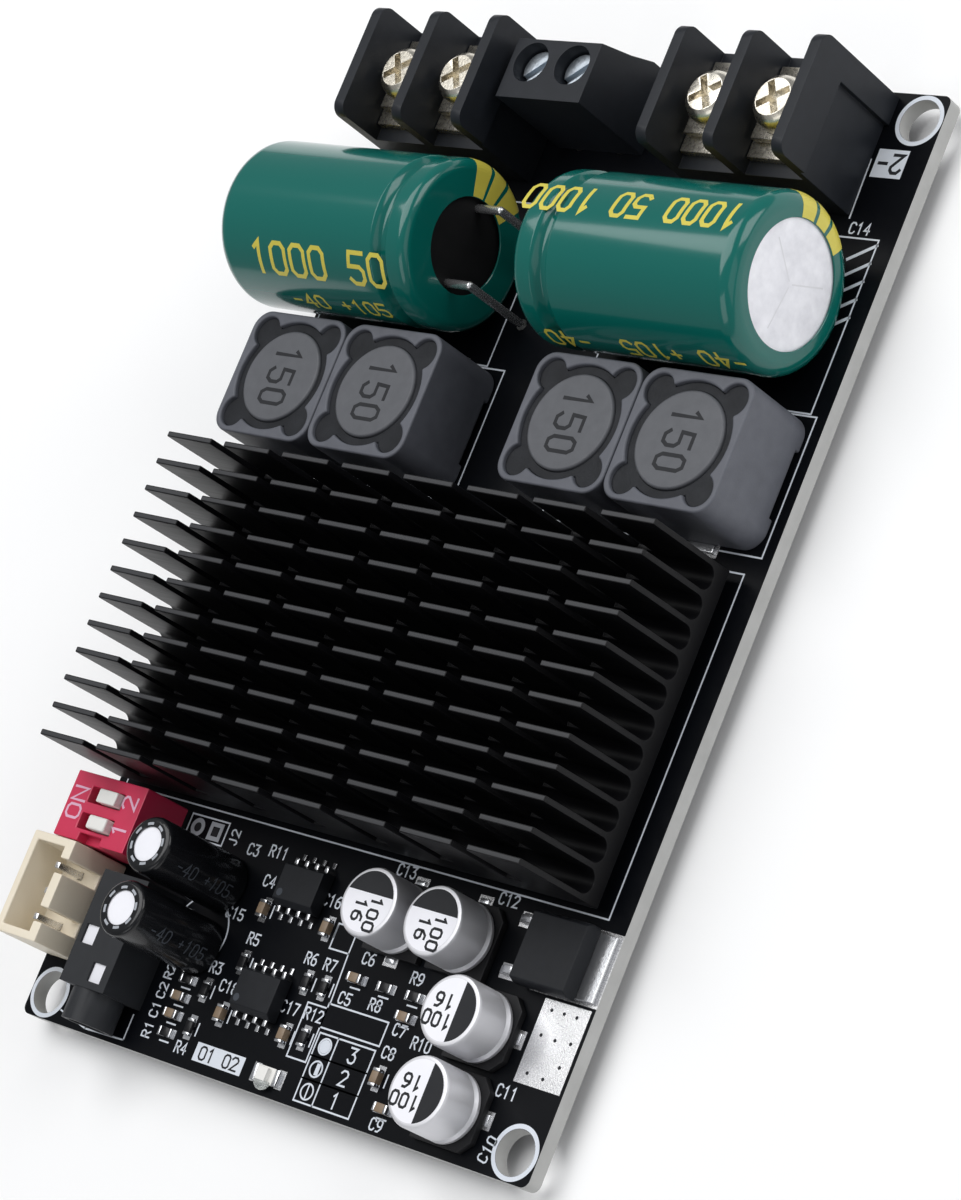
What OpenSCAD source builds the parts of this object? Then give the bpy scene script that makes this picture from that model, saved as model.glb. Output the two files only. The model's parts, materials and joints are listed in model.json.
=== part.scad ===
// Stereo audio amplifier board: a bare circuit board with a finned heatsink, lying and standing
// capacitors, output inductors, screw terminals, a switch block, a pin header and an audio jack.
// Millimetres. Origin at the centre of the four mounting holes on the board underside,
// X across the board, Y towards the speaker terminals, Z up.

/* [Board] */
// Board width along X
board_w = 64; // [60:0.5:76]
// Board length along Y
board_l = 99; // [96:0.5:112]
// Board thickness
board_t = 1.6; // [1:0.1:2.4]
// Corner radius of the board outline
board_corner_r = 0.8; // [0.3:0.1:2]
// Mounting hole diameter
mount_hole_d = 4; // [3:0.1:4.2]
// Mounting hole centre from both board edges
mount_hole_inset = 2.5; // [2.4:0.1:3]

/* [Fits] */
// Play between a lead and its hole in the board
lead_play = 0.15; // [0.05:0.05:0.3]
// Play between round pieces that nest
nest_play = 0.02; // [0.01:0.01:0.05]
// Play around turning and sliding pieces
run_play = 0.1; // [0.04:0.02:0.14]
// Lift of a moving piece off its seat
seat_lift = 0.05; // [0.02:0.01:0.1]

/* [Heatsink] */
// Heatsink left end from the left board edge
heatsink_left_inset = 1.4; // [0.5:0.1:3]
// Heatsink right end from the right board edge
heatsink_right_inset = 2.6; // [0.5:0.1:4]
// Heatsink top above the board
heatsink_top = 12.35; // [9:0.05:20]
// Base thickness under the fins
heatsink_base_t = 1.6; // [1:0.1:3]
// Fin spacing aimed at, the depth sets the exact one
fin_pitch_goal = 2.7; // [2.2:0.1:4]
// Fin thickness
fin_t = 0.54; // [0.4:0.02:1.4]
// Number of cuts across the fins
cross_cuts = 7; // [3:1:9]
// Width of a cut across the fins
cross_cut_w = 1.75; // [0.8:0.05:2.5]
// Space between heatsink and inductors
heatsink_back_gap = 2.35; // [0.5:0.05:4]
// Space between heatsink and the control parts
heatsink_front_gap = 1.1; // [0.4:0.05:3]
// Diameter of the two feet under the heatsink
foot_d = 6; // [5:0.1:8]
// Distance of each foot from the heatsink end
foot_inset = 4.5; // [4:0.1:8]
// Shank diameter of the screws from below
sink_screw_d = 3; // [2:0.1:3.4]
// Head diameter of the screws from below
sink_screw_head_d = 5.5; // [4.5:0.1:6]

/* [Amplifier chip] */
// Chip length along X
chip_w = 14; // [10:0.1:18]
// Chip depth along Y
chip_d = 6.1; // [4:0.1:9]
// Chip height
chip_h = 1.15; // [0.8:0.05:2]
// Thermal pad thickness
thermal_pad_t = 0.25; // [0.15:0.05:1]
// Leads along each long side
chip_lead_n = 22; // [14:1:22]
// Lead spacing
chip_lead_pitch = 0.6; // [0.5:0.01:0.6]
// Lead width
chip_lead_w = 0.25; // [0.15:0.01:0.35]
// Lead reach from the chip side
chip_lead_reach = 1; // [0.7:0.05:1.4]

/* [Main capacitors] */
// Outside diameter over the sleeve
cap_d = 15.75; // [12:0.05:17]
// Length over the sleeve
cap_len = 25; // [20:0.1:26]
// Sleeve thickness
cap_sleeve_t = 0.2; // [0.1:0.01:0.4]
// Bare disc diameter at the closed end
cap_disc_d = 11.2; // [8:0.1:12.5]
// Opening of the sleeve at the open end
cap_ring_d = 8.9; // [8.7:0.1:12]
// Rounding of the closed end
cap_end_r = 1.3; // [0.6:0.1:2]
// Rounding of the open end
cap_lip_r = 0.8; // [0.4:0.1:1]
// Crimp groove centre from the open end
crimp_u = 3.1; // [2.6:0.1:4.5]
// Crimp groove depth
crimp_depth = 0.8; // [0.4:0.05:1.2]
// Rubber bung diameter
bung_d = 12.6; // [10:0.1:12.8]
// Rubber bung depth
bung_t = 2; // [1:0.1:3]
// Lead diameter
cap_lead_d = 0.8; // [0.6:0.05:1]
// Lead spacing
cap_lead_pitch = 7.5; // [5:0.1:8]
// Straight run of a lead before it bends down
cap_lead_run = 2.6; // [1.5:0.1:3.5]
// Space between the capacitors and the speaker terminals
cap_gap = 2.3; // [0.5:0.1:4]
// Right capacitor end from the right board edge
cap_right_inset = 2.15; // [0.5:0.05:3]
// Left capacitor end beyond the left board edge
cap_left_over = 1.1; // [0:0.05:2]

/* [Inductors] */
// Width and depth of the shield
ind_w = 12.3; // [10:0.05:13]
// Height
ind_h = 8; // [5:0.1:10]
// Corner radius of the shield
ind_corner_r = 1.9; // [1:0.1:2.5]
// Core disc diameter
ind_core_d = 9.1; // [7:0.1:9.2]
// Opening diameter around the core
ind_bore_d = 10.8; // [9.6:0.1:11]
// Diameter of the corner lobes of the opening
ind_lobe_d = 3; // [2:0.1:3.2]
// Floor of the shield
ind_floor_t = 0.8; // [0.5:0.1:1.5]
// Resin surface below the shield rim
ind_resin_drop = 0.4; // [0.1:0.05:1]
// Outer inductors from the side edges of the board
ind_side_inset = 1.46; // [0.5:0.02:2.5]
// Space between two inductors of a pair
ind_pair_gap = 0.1; // [0.05:0.05:0.6]
// Space between inductors and capacitors
ind_cap_gap = 0.85; // [0.3:0.05:3]
// Terminal width
ind_term_w = 3; // [2:0.1:5]
// Terminal reach beyond the shield
ind_term_reach = 0.8; // [0.4:0.1:0.8]
// Terminal thickness
ind_term_t = 0.4; // [0.2:0.05:0.6]

/* [Speaker terminals] */
// Pole spacing
bar_pitch = 7.62; // [7:0.01:8]
// Wall thickness
bar_wall_t = 1.2; // [1:0.1:1.8]
// Wall height
bar_h = 12; // [10:0.1:15]
// Block depth along Y
bar_d = 11.4; // [9.8:0.1:12]
// Height of the contact shelf
bar_shelf = 6.4; // [4.5:0.1:6.5]
// Rounding of the wall tops
bar_round_r = 1.2; // [0.5:0.1:2]
// Depth of the pocket in the outer wall face
bar_pocket_t = 0.5; // [0.2:0.1:0.7]
// Height of the pocket
bar_pocket_h = 7.8; // [5:0.1:9]
// Rear band left beside the pocket
bar_band = 2.7; // [1.5:0.1:4]
// Rear face from the rear board edge
bar_rear_inset = 0.5; // [0:0.1:1.5]
// Left block from the left board edge
bar_left_inset = 4.3; // [4:0.1:5]
// Right block from the right board edge
bar_right_inset = 5.5; // [4.2:0.1:6]
// Contact plate thickness
bar_plate_t = 0.8; // [0.5:0.1:1.2]
// Contact plate depth along Y
bar_plate_d = 8.8; // [8:0.1:9.2]
// Contact leg width along X
bar_leg_w = 1.2; // [0.8:0.1:1.6]
// Contact leg thickness along Y
bar_leg_t = 0.8; // [0.5:0.1:1]
// Contact leg behind the screw
bar_leg_back = 3.4; // [3:0.1:3.6]
// Clamp washer width
washer_w = 5.5; // [5:0.1:5.6]
// Clamp washer depth
washer_d = 6; // [5:0.1:6.4]
// Clamp washer thickness
washer_t = 0.8; // [0.5:0.1:1]
// Screw thread diameter
bar_screw_d = 3; // [2.5:0.1:3.2]
// Screw head diameter
bar_head_d = 5; // [4.6:0.1:5.7]
// Screw head height
bar_head_h = 2.2; // [1.5:0.1:2.6]
// Screw length under the head
bar_screw_len = 5.2; // [4:0.1:5.6]
// Cross recess length
cross_len = 3.4; // [2.4:0.1:3.8]
// Cross recess width
cross_w = 0.7; // [0.5:0.05:1]
// Cross recess depth
cross_depth = 1.1; // [0.6:0.1:1.4]

/* [Power terminal] */
// Pole spacing
pwr_pitch = 5.08; // [4.9:0.01:5.4]
// Side wall beyond each outer pole
pwr_side = 2.6; // [2.5:0.05:3]
// Height
pwr_h = 10; // [9.6:0.1:13]
// Depth at the foot
pwr_d = 7.9; // [7.7:0.1:9]
// Depth at the top
pwr_top_d = 5.95; // [5.9:0.05:6.6]
// Height of the upright rear foot
pwr_foot_h = 3.05; // [2.5:0.05:3.6]
// Rear foot from the rear board edge
pwr_rear_inset = 0.2; // [0:0.1:1]
// Space to the left speaker terminal
pwr_gap = 1.3; // [0.4:0.1:2]
// Pole centre from the front face
pwr_pole_y = 3.64; // [3.5:0.02:3.7]
// Screw well diameter
well_d = 3.9; // [3.6:0.1:4.1]
// Screw head diameter
pwr_head_d = 3.5; // [3:0.1:3.5]
// Screw head height
pwr_head_h = 0.9; // [0.8:0.1:1.6]
// Screw thread diameter
pwr_screw_d = 2.4; // [2:0.1:2.6]
// Ledge height that carries the screw head
pwr_ledge = 7.7; // [7.5:0.1:8.2]
// Ledge thickness
pwr_ledge_t = 0.5; // [0.4:0.1:0.6]
// Clamp width along X
clamp_w = 3.4; // [3.1:0.1:3.5]
// Clamp depth along Y
clamp_d = 4; // [3.4:0.1:4]
// Clamp height
clamp_h = 4.1; // [3.9:0.05:4.3]
// Clamp side thickness
clamp_side_t = 0.5; // [0.3:0.05:0.6]
// Clamp top thickness
clamp_top_t = 0.9; // [0.6:0.1:1]
// Clamp bottom thickness
clamp_bottom_t = 0.7; // [0.5:0.1:0.8]
// Floor of the terminal under the clamp
pwr_floor_t = 0.85; // [0.6:0.05:1]
// Contact bar thickness
pwr_bar_t = 0.5; // [0.3:0.05:0.6]
// Contact bar and leg width
pwr_bar_w = 1.6; // [1:0.1:1.8]
// Contact leg from the front face
pwr_leg_y = 0.6; // [0.4:0.05:0.8]
// Wire entry width
entry_w = 2.6; // [2:0.1:2.8]

/* [Switch block] */
// Width along X
dip_w = 9.7; // [9:0.1:10.5]
// Length along Y
dip_l = 6.35; // [6:0.05:7]
// Top above the board
dip_h = 6; // [5.6:0.1:7]
// Base thickness
dip_base_t = 0.5; // [0.3:0.05:1]
// Left side from the left board edge
dip_left_inset = 1.1; // [0.5:0.1:3]
// Space to the pin header
dip_gap = 0.2; // [0.1:0.05:1]
// Switch spacing
dip_pitch = 2.54; // [2.5:0.01:2.7]
// Slider knob length along X
knob_l = 2.5; // [1.6:0.1:2.7]
// Slider knob width
knob_w = 1.3; // [0.9:0.05:1.5]
// Slider knob above the cover
knob_rise = 0.75; // [0:0.05:1]
// Slider travel
knob_travel = 1.8; // [1.2:0.1:2]
// Slider flange beyond the knob
knob_flange = 0.3; // [0.2:0.05:0.35]
// Slider flange thickness
knob_flange_t = 0.8; // [0.5:0.05:1]
// Slider track depth under the cover top
track_depth = 2.4; // [2:0.1:3]
// Notch width in the front edge
dip_notch_w = 3; // [2:0.1:4]
// Notch depth along Y
dip_notch_d = 0.8; // [0.2:0.05:0.85]
// Pin row spacing along X
dip_row = 7.62; // [7:0.01:8]
// Square pin side
dip_pin = 0.5; // [0.4:0.05:0.6]

/* [Pin header] */
// Width along X
xh_w = 5.75; // [5.5:0.05:6.5]
// Length along Y
xh_l = 9.8; // [9:0.1:11]
// Height
xh_h = 7; // [6:0.1:8]
// Wall thickness
xh_wall = 0.8; // [0.6:0.05:1.1]
// Wall thickness on the side with the key slots
xh_key_wall = 1.2; // [0.8:0.05:1.3]
// Floor thickness
xh_floor = 2.6; // [1.5:0.1:3]
// Overhang beyond the left board edge
xh_over = 0.15; // [0:0.05:0.5]
// Front side from the front board edge
xh_front_inset = 5.75; // [5.2:0.05:6.5]
// Key slot width
xh_slot_w = 1.4; // [0.8:0.1:1.6]
// Key slot distance from the middle
xh_slot_y = 2.35; // [2:0.05:2.6]
// Pin spacing
xh_pitch = 2.5; // [2.4:0.02:2.6]
// Pin line from the left side
xh_pin_x = 3.15; // [2.6:0.05:3.4]
// Square pin side
xh_pin = 0.64; // [0.5:0.02:0.7]
// Pin tip above the board
xh_pin_top = 5.7; // [4:0.1:6]

/* [Audio jack] */
// Body width along X
jack_w = 6; // [5.6:0.1:6.6]
// Body length along Y
jack_l = 10.7; // [9.5:0.1:11]
// Body height
jack_h = 5; // [4.9:0.05:6]
// Collar length in front of the body
jack_collar_l = 3; // [1.5:0.1:3]
// Collar diameter
jack_collar_d = 4.9; // [4.6:0.05:4.9]
// Plug bore diameter
jack_bore_d = 3.6; // [3.55:0.01:3.7]
// Plug bore depth from the collar face
jack_bore_l = 12; // [10:0.1:12.2]
// Body left side from the left board edge
jack_left_inset = 8.45; // [8.2:0.05:9]
// Body front from the front board edge
jack_front_inset = 3.5; // [3.2:0.05:4]
// Contact window width
jack_win_w = 1.7; // [1.2:0.1:2]
// Contact window length
jack_win_l = 1.8; // [1.2:0.1:2.2]
// Contact plate thickness
jack_plate_t = 0.25; // [0.15:0.05:0.3]
// Square pin side
jack_pin = 0.7; // [0.5:0.05:0.9]

/* [Standing capacitors] */
// Diameter over the sleeve
can_d = 5.3; // [4.5:0.1:5.6]
// Height above the board
can_h = 10.8; // [8:0.1:13]
// Sleeve thickness
can_sleeve_t = 0.15; // [0.08:0.01:0.25]
// Rim of the sleeve over the top
can_rim = 1.05; // [0.7:0.05:1.2]
// Space between the two cans
can_gap = 0.7; // [0.2:0.1:1]
// Space between cans and jack
can_jack_gap = 1.45; // [0.5:0.05:2]
// Front can centre from the front board edge
can_front_y = 10.6; // [10.5:0.1:11]
// Lead spacing
can_lead_pitch = 2; // [1.5:0.1:2.5]
// Lead diameter
can_lead_d = 0.5; // [0.4:0.05:0.6]
// Space under the can
can_lift = 0.2; // [0.1:0.05:0.5]

/* [Surface capacitors] */
// Base width
smd_base_w = 6.6; // [5:0.1:6.8]
// Base thickness
smd_base_t = 0.7; // [0.4:0.1:1.2]
// Can diameter
smd_can_d = 6.3; // [4:0.1:6.3]
// Height above the board
smd_h = 5.4; // [4.5:0.1:7.7]
// Corner chamfer of the base
smd_chamfer = 1.1; // [0.6:0.1:1.5]
// Terminal reach
smd_term_reach = 0.5; // [0.3:0.1:0.9]
// Terminal width
smd_term_w = 1; // [0.6:0.1:1.4]
// Terminal thickness
smd_term_t = 0.25; // [0.15:0.05:0.4]
// Right column from the right board edge
smd_right_inset = 6.75; // [6.6:0.05:7.2]
// Front capacitor from the front board edge
smd_front_inset = 0.9; // [0.5:0.05:1.5]
// Space between stacked bases
smd_gap = 0.5; // [0.2:0.05:0.8]
// Space between the two rear bases
smd_row_gap = 1; // [0.3:0.1:1.5]

/* [Small chips] */
// Eight lead chip length along X
so_w = 4.9; // [4.7:0.05:5.4]
// Eight lead chip depth along Y
so_d = 3.9; // [3.4:0.05:4.2]
// Eight lead chip height
so_h = 1.6; // [1.2:0.05:2]
// Lead spacing
so_pitch = 1.27; // [1.1:0.01:1.3]
// Lead width
so_lead_w = 0.42; // [0.3:0.02:0.6]
// Lead reach
so_lead_reach = 1.15; // [0.8:0.05:1.3]
// Chip column from the left board edge
so_x = 28.5; // [28:0.1:29]
// Front chip from the front board edge
so_front_y = 8.15; // [8:0.05:8.3]
// Rear chip behind the front chip
so_step_y = 9.9; // [9.5:0.05:10.2]
// Regulator body width along X
reg_w = 6.1; // [5.6:0.1:6.4]
// Regulator body depth along Y
reg_d = 6.4; // [5.8:0.1:6.6]
// Regulator height
reg_h = 2.3; // [1.8:0.1:3]
// Regulator tab thickness
reg_tab_t = 0.5; // [0.3:0.05:0.8]
// Regulator tab reach beyond the body
reg_tab_reach = 1.8; // [1:0.1:1.9]
// Regulator tab end from the right board edge
reg_right_inset = 0.3; // [0.1:0.05:1]
// Regulator lead reach
reg_lead_reach = 2.7; // [2:0.1:2.8]
// Regulator lead width
reg_lead_w = 0.75; // [0.5:0.05:1]
// Regulator lead offset from its middle
reg_lead_y = 2.29; // [1.8:0.01:2.5]
// Space between the regulator and the surface capacitors
reg_gap = 0.9; // [0.5:0.1:1.4]

/* [Chip parts] */
// Chip part length
chip_part_l = 1.6; // [1.2:0.05:1.8]
// Chip part width
chip_part_w = 0.8; // [0.5:0.05:1]
// Resistor height
chip_r_h = 0.45; // [0.3:0.05:0.6]
// Capacitor height
chip_c_h = 0.8; // [0.5:0.05:0.9]
// Metal end length
chip_end = 0.3; // [0.2:0.05:0.4]
// Filter column from the left board edge
filter_x = 18.8; // [18.6:0.1:19]
// First filter part from the front board edge
filter_y = 2.5; // [2:0.1:2.6]
// Spacing of the filter parts
filter_pitch = 1.68; // [1.5:0.02:1.72]
// Second filter column beside the first
filter_step_x = 2.55; // [2.4:0.05:2.7]
// Gain parts beside an eight lead chip
flank_x = 4.05; // [3.9:0.05:4.2]
// Second gain column from the chip middle
flank_far_x = 6.25; // [6:0.05:6.4]
// Gain parts in front of and behind the chip middle
flank_y = 2.3; // [2:0.1:2.6]
// First part of the right row from the side capacitors
row_inset = 12.6; // [12.2:0.05:12.8]
// Right row from the front board edge
row_y = 12.05; // [11.8:0.05:12.2]
// Spacing of the right row
row_pitch = 3.47; // [3:0.02:3.5]
// Part in front of the right row
row_drop = 1.9; // [1.5:0.05:2.2]
// Front pair from the side capacitors
pair_inset = 6.05; // [5.7:0.05:6.6]
// Front pair from the front board edge
pair_y = 4.6; // [4.4:0.1:5]
// Lamp from the left board edge
lamp_x = 32.4; // [31.5:0.1:33]
// Lamp from the front board edge
lamp_y = 1.8; // [1.4:0.1:2]
// Lamp length
lamp_l = 3.2; // [2:0.1:3.4]
// Lamp width
lamp_w = 1.5; // [1.2:0.1:1.7]
// Lamp height
lamp_h = 1; // [0.7:0.05:1.2]
// Metal end length of the lamp
lamp_end = 0.5; // [0.3:0.05:0.6]

/* [Underside] */
// Height of solder joints and screw heads under the board
joint_h = 1.6; // [1:0.1:2.5]
// Solder ring around a lead hole
joint_ring = 0.55; // [0.3:0.05:0.8]
// Solder tip radius
joint_tip_r = 0.4; // [0.25:0.05:0.6]

/* [Hidden] */
$fn = 48;
// Overshoot of a cutting shape
cut = 0.5;
// Step of the rounded can end
end_step = 18;
// Side capacitor base to the rear row and rear row to the regulator leads
smd_rear_gap = 0.05;
smd_reg_gap = 1.4;
// Lobe of the inductor opening from the shield side, core top under the shield top, side slot of the shield
ind_lobe_margin = 0.55;
ind_core_drop = 0.1;
ind_slot_w = 0.8;
ind_slot_h = 0.5;
// Heatsink screw hole stops under the base top, and the screw tip stops under the hole end
sink_hole_stop = 0.6;
sink_tip_play = 0.2;
// Crimp groove of the main capacitors: half width at the top and at the bottom
crimp_half = 1;
crimp_flat = 0.35;
// Terminal screws: turn of the cross and of the slot, slot width, its floor as a share of the head, tip play
cross_turn = 30;
pwr_slot_turn = 40;
pwr_slot_w = 0.7;
pwr_slot_floor = 0.45;
pwr_tip_play = 0.25;
// Notch height in the switch cover
dip_notch_h = 1.2;
// Jack pins from the body ends and sides, and window places from the front middle
jack_pin_end = 1.6;
jack_pin_side = 0.8;
jack_windows_at = [[-1.55, 4.65], [1.2, 1.55]];
// Side capacitor can: foot, waist levels and depth, and top rounding
smd_foot = [0.15, 0.2];
smd_waist_z = [0.5, 0.75, 0.95, 1.2];
smd_waist_in = 0.25;
smd_top_round = [[0, 0.35], [0.12, 0.1], [0.4, 0]];
// Small chip body: lift off the board, waist share, bevels and lead sheet
so_lift = 0.12;
so_waist = 0.62;
so_bevel = 0.25;
so_key_bevel = 0.45;
so_lead_level = 0.45;
so_lead_t = 0.2;
chip_lead_t = 0.15;
// Regulator: waist share, bevel, lead level, lead sheet, cut middle lead and tab start
reg_waist = 0.7;
reg_bevel = 0.3;
reg_lead_level = 0.4;
reg_lead_t = 0.5;
reg_stub = 0.7;
reg_foot_share = 2.4;
reg_tab_start = 1;
// Chip parts: upper filter pair, drop of the flanking pair, and the odd one beside the pair
filter_up_at = 0.65;
filter_up_step = 2.1;
flank_drop = 0.3;
pair_c_step = [1.9, -2.3];
// Lamp lens width as a share of the lamp
lamp_lens_share = 0.8;

// Speaker terminals
bar_w = 2 * bar_pitch + bar_wall_t;
bar_y0 = board_l - bar_rear_inset - bar_d;
bar_left_x = bar_left_inset;
bar_right_x = board_w - bar_right_inset - bar_w;
bar_screw_y = bar_y0 + bar_d / 2;
bar_leg_y = bar_screw_y + bar_leg_back;
bar_bay = bar_pitch - bar_wall_t;
bar_plate_w = bar_bay - 2 * run_play;
washer_z = bar_shelf + bar_plate_t + seat_lift;
bar_head_z = washer_z + washer_t + seat_lift;
bar_poles = [for (x0 = [bar_left_x, bar_right_x]) for (i = [0, 1])
    x0 + bar_wall_t / 2 + bar_pitch * (i + 0.5)];

// Power terminal
pwr_w = pwr_pitch + 2 * pwr_side;
pwr_x0 = bar_left_x + bar_w + pwr_gap;
pwr_y0 = board_l - pwr_rear_inset - pwr_d;
pwr_poles = [for (i = [0, 1]) pwr_x0 + pwr_side + i * pwr_pitch];
pwr_pole_line = pwr_y0 + pwr_pole_y;
clamp_z = pwr_floor_t + seat_lift;
pwr_bar_z = clamp_z + clamp_h - clamp_top_t - pwr_bar_t - seat_lift;
chamber_w = clamp_w + 2 * run_play;
chamber_d = clamp_d + 2 * run_play;
chamber_top = pwr_ledge - pwr_ledge_t;
pwr_leg_line = pwr_y0 + pwr_leg_y + pwr_bar_t / 2;

// Main capacitors
cap_y = bar_y0 - cap_gap - cap_d / 2;
cap_z = cap_d / 2 + seat_lift;
cap_can_r = cap_d / 2 - cap_sleeve_t - nest_play;
cap_wrap = nest_play + cap_sleeve_t;
cap_can_l = cap_len - 2 * cap_wrap;
cap_left_open = cap_len - cap_left_over - cap_wrap;
cap_right_open = board_w - cap_right_inset - cap_len + cap_wrap;
bung_face = 0.3;

// Inductors
ind_y = cap_y - cap_d / 2 - ind_cap_gap - ind_w / 2;
ind_step = ind_w + ind_pair_gap;
ind_left = ind_side_inset + ind_w / 2;
ind_right = board_w - ind_side_inset - ind_w / 2;
ind_xs = [ind_left, ind_left + ind_step, ind_right - ind_step, ind_right];
ind_lobe_at = ind_w / 2 - ind_lobe_d / 2 - ind_lobe_margin;
ind_core_h = ind_h - ind_core_drop;

// Control parts
xh_yc = xh_front_inset + xh_l / 2;
xh_pin_line = xh_pin_x - xh_over;
dip_y0 = xh_front_inset + xh_l + dip_gap;
dip_xc = dip_left_inset + dip_w / 2;
dip_yc = dip_y0 + dip_l / 2;
dip_floor = dip_h - track_depth;
slot_l = knob_l + knob_travel + 2 * run_play;
track_l = slot_l + 2 * knob_flange;
knob_off_x = dip_xc + knob_travel / 2;
jack_xc = jack_left_inset + jack_w / 2;
jack_zc = jack_collar_d / 2 + nest_play;
jack_tip_y = jack_front_inset - jack_collar_l;
jack_win_z = jack_h - 0.5;
can_x = jack_left_inset + jack_w + can_jack_gap + can_d / 2;
can_ys = [can_front_y, can_front_y + can_d + can_gap];
can_tall = can_h - can_lift;
can_soft = can_rim / 2;
can_in_r = can_d / 2 - can_sleeve_t - nest_play;

// Surface capacitors and regulator
smd_right_x = board_w - smd_right_inset - smd_base_w / 2;
smd_front_y = smd_front_inset + smd_base_w / 2;
smd_mid_y = smd_front_y + smd_base_w + smd_gap;
smd_mid_top = smd_mid_y + smd_base_w / 2;
reg_x1 = board_w - reg_right_inset - reg_tab_reach;
reg_x0 = reg_x1 - reg_w;
reg_yc = smd_mid_top + reg_gap + reg_d / 2;
smd_rear_y = smd_mid_top + smd_rear_gap + smd_base_w / 2;
smd_rear_x = reg_x0 - reg_lead_reach - smd_reg_gap - smd_base_w / 2;
smd_step = smd_base_w + smd_row_gap;
smd_rear = [[smd_rear_x, smd_rear_y], [smd_rear_x - smd_step, smd_rear_y]];
smd_side = [[smd_right_x, smd_mid_y], [smd_right_x, smd_front_y]];
so_ys = [so_front_y, so_front_y + so_step_y];

// Heatsink, it fills the board between the inductors and the control parts
control_tops = [dip_y0 + dip_l, so_ys[1] + so_d / 2 + so_lead_reach, smd_rear_y + smd_base_w / 2 + smd_term_reach,
    reg_yc + reg_d / 2];
hs_y0 = max(control_tops) + heatsink_front_gap;
hs_y1 = ind_y - ind_w / 2 - heatsink_back_gap;
hs_d = hs_y1 - hs_y0;
hs_x0 = heatsink_left_inset;
hs_w = board_w - heatsink_left_inset - heatsink_right_inset;
hs_z0 = chip_h + thermal_pad_t;
hs_h = heatsink_top - hs_z0;
hs_xc = hs_x0 + hs_w / 2;
hs_yc = hs_y0 + hs_d / 2;
fin_n = max(4, round((hs_d - fin_t) / fin_pitch_goal) + 1);
fin_pitch = (hs_d - fin_t) / (fin_n - 1);
groove_w = fin_pitch - fin_t;
groove_z = hs_z0 + heatsink_base_t + groove_w / 2;
cross_pitch = (hs_w + cross_cut_w) / (cross_cuts + 1);
foot_xs = [hs_x0 + foot_inset, hs_x0 + hs_w - foot_inset];
sink_screw_top = hs_z0 + heatsink_base_t - sink_hole_stop;

// Lead holes: x, y and hole diameter of every lead that passes through the board
function square_hole(w, t) = sqrt(w * w + t * t) + 2 * lead_play;
function round_hole(d) = d + 2 * lead_play;
bar_holes = [for (x = bar_poles) [x, bar_leg_y, square_hole(bar_leg_w, bar_leg_t)]];
pwr_holes = [for (x = pwr_poles) [x, pwr_leg_line, square_hole(pwr_bar_w, pwr_bar_t)]];
cap_lead_xs = [cap_left_open + cap_lead_run, cap_right_open - cap_lead_run];
cap_holes = [for (x = cap_lead_xs) for (s = [-1, 1]) [x, cap_y + s * cap_lead_pitch / 2, round_hole(cap_lead_d)]];
dip_holes = [for (sx = [-1, 1]) for (sy = [-1, 1])
    [dip_xc + sx * dip_row / 2, dip_yc + sy * dip_pitch / 2, square_hole(dip_pin, dip_pin)]];
xh_holes = [for (i = [-1, 0, 1]) [xh_pin_line, xh_yc + i * xh_pitch, square_hole(xh_pin, xh_pin)]];
jack_holes = [for (p = [[-1, jack_pin_end], [1, jack_pin_end], [-1, jack_l - jack_pin_end]])
    [jack_xc + p[0] * (jack_w / 2 - jack_pin_side), jack_front_inset + p[1], square_hole(jack_pin, jack_pin)]];
can_holes = [for (y = can_ys) for (s = [-1, 1]) [can_x + s * can_lead_pitch / 2, y, round_hole(can_lead_d)]];
lead_holes = concat(bar_holes, pwr_holes, cap_holes, dip_holes, xh_holes, jack_holes, can_holes);

// Chip part places
smd_left_x = smd_right_x - smd_base_w / 2;
row_x = smd_left_x - row_inset;
pair_x = smd_left_x - pair_inset;
filter_r = [[filter_x, filter_y], [filter_x, filter_y + 3 * filter_pitch]];
filter_c = [[filter_x, filter_y + filter_pitch], [filter_x, filter_y + 2 * filter_pitch]];
filter_up = [for (i = [0, 1])
    [filter_x + filter_step_x, filter_y + filter_pitch * (filter_up_at + filter_up_step * i)]];
flank_c = [for (y = so_ys) for (s = [-1, 1]) [so_x + s * flank_x, y - flank_y - flank_drop]];
flank_r = concat([for (s = [-1, 1]) [so_x + s * flank_x, so_front_y + flank_y]],
    [for (s = [-1, 1]) [so_x + flank_far_x, so_front_y + s * flank_y]]);
row_r = [for (i = [1, 2]) [row_x + i * row_pitch, row_y]];
row_c = [[row_x, row_y], [row_x + 2 * row_pitch, row_y - row_drop]];
pair_c = [pair_x, pair_y] + pair_c_step;

// Moves a shape drawn from the front left board corner, on the board face, to its place
module on_board() {
    translate([-board_w / 2, -board_l / 2, board_t]) children();
}

// Rectangle with rounded corners, from the origin
module round_rect(w, d, r) {
    union() {
        translate([r, 0]) square([w - 2 * r, d]);
        translate([0, r]) square([w, d - 2 * r]);
        for (x = [r, w - r]) for (y = [r, d - r]) translate([x, y]) circle(r = r);
    }
}

// Box centred in X and Y, standing on its own foot
module post(w, d, h) {
    translate([-w / 2, -d / 2, 0]) cube([w, d, h]);
}

// Gull wing lead leaving a chip side in +Y, with its foot on the board
module gull_lead(w, reach, rise, run, t) {
    translate([w / 2, 0, 0]) rotate([90, 0, -90]) mirror([1, 0, 0]) linear_extrude(w)
        polygon([[0, rise], [run, rise], [run, 0], [reach, 0], [reach, t], [run + t, t], [run + t, rise + t],
            [0, rise + t]]);
}

// Bar along X with a profile given in Y and Z
module profile_x(w) {
    rotate([90, 0, 90]) linear_extrude(w) children();
}

module board_outline() {
    translate([-board_w / 2, -board_l / 2]) round_rect(board_w, board_l, board_corner_r);
}

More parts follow.
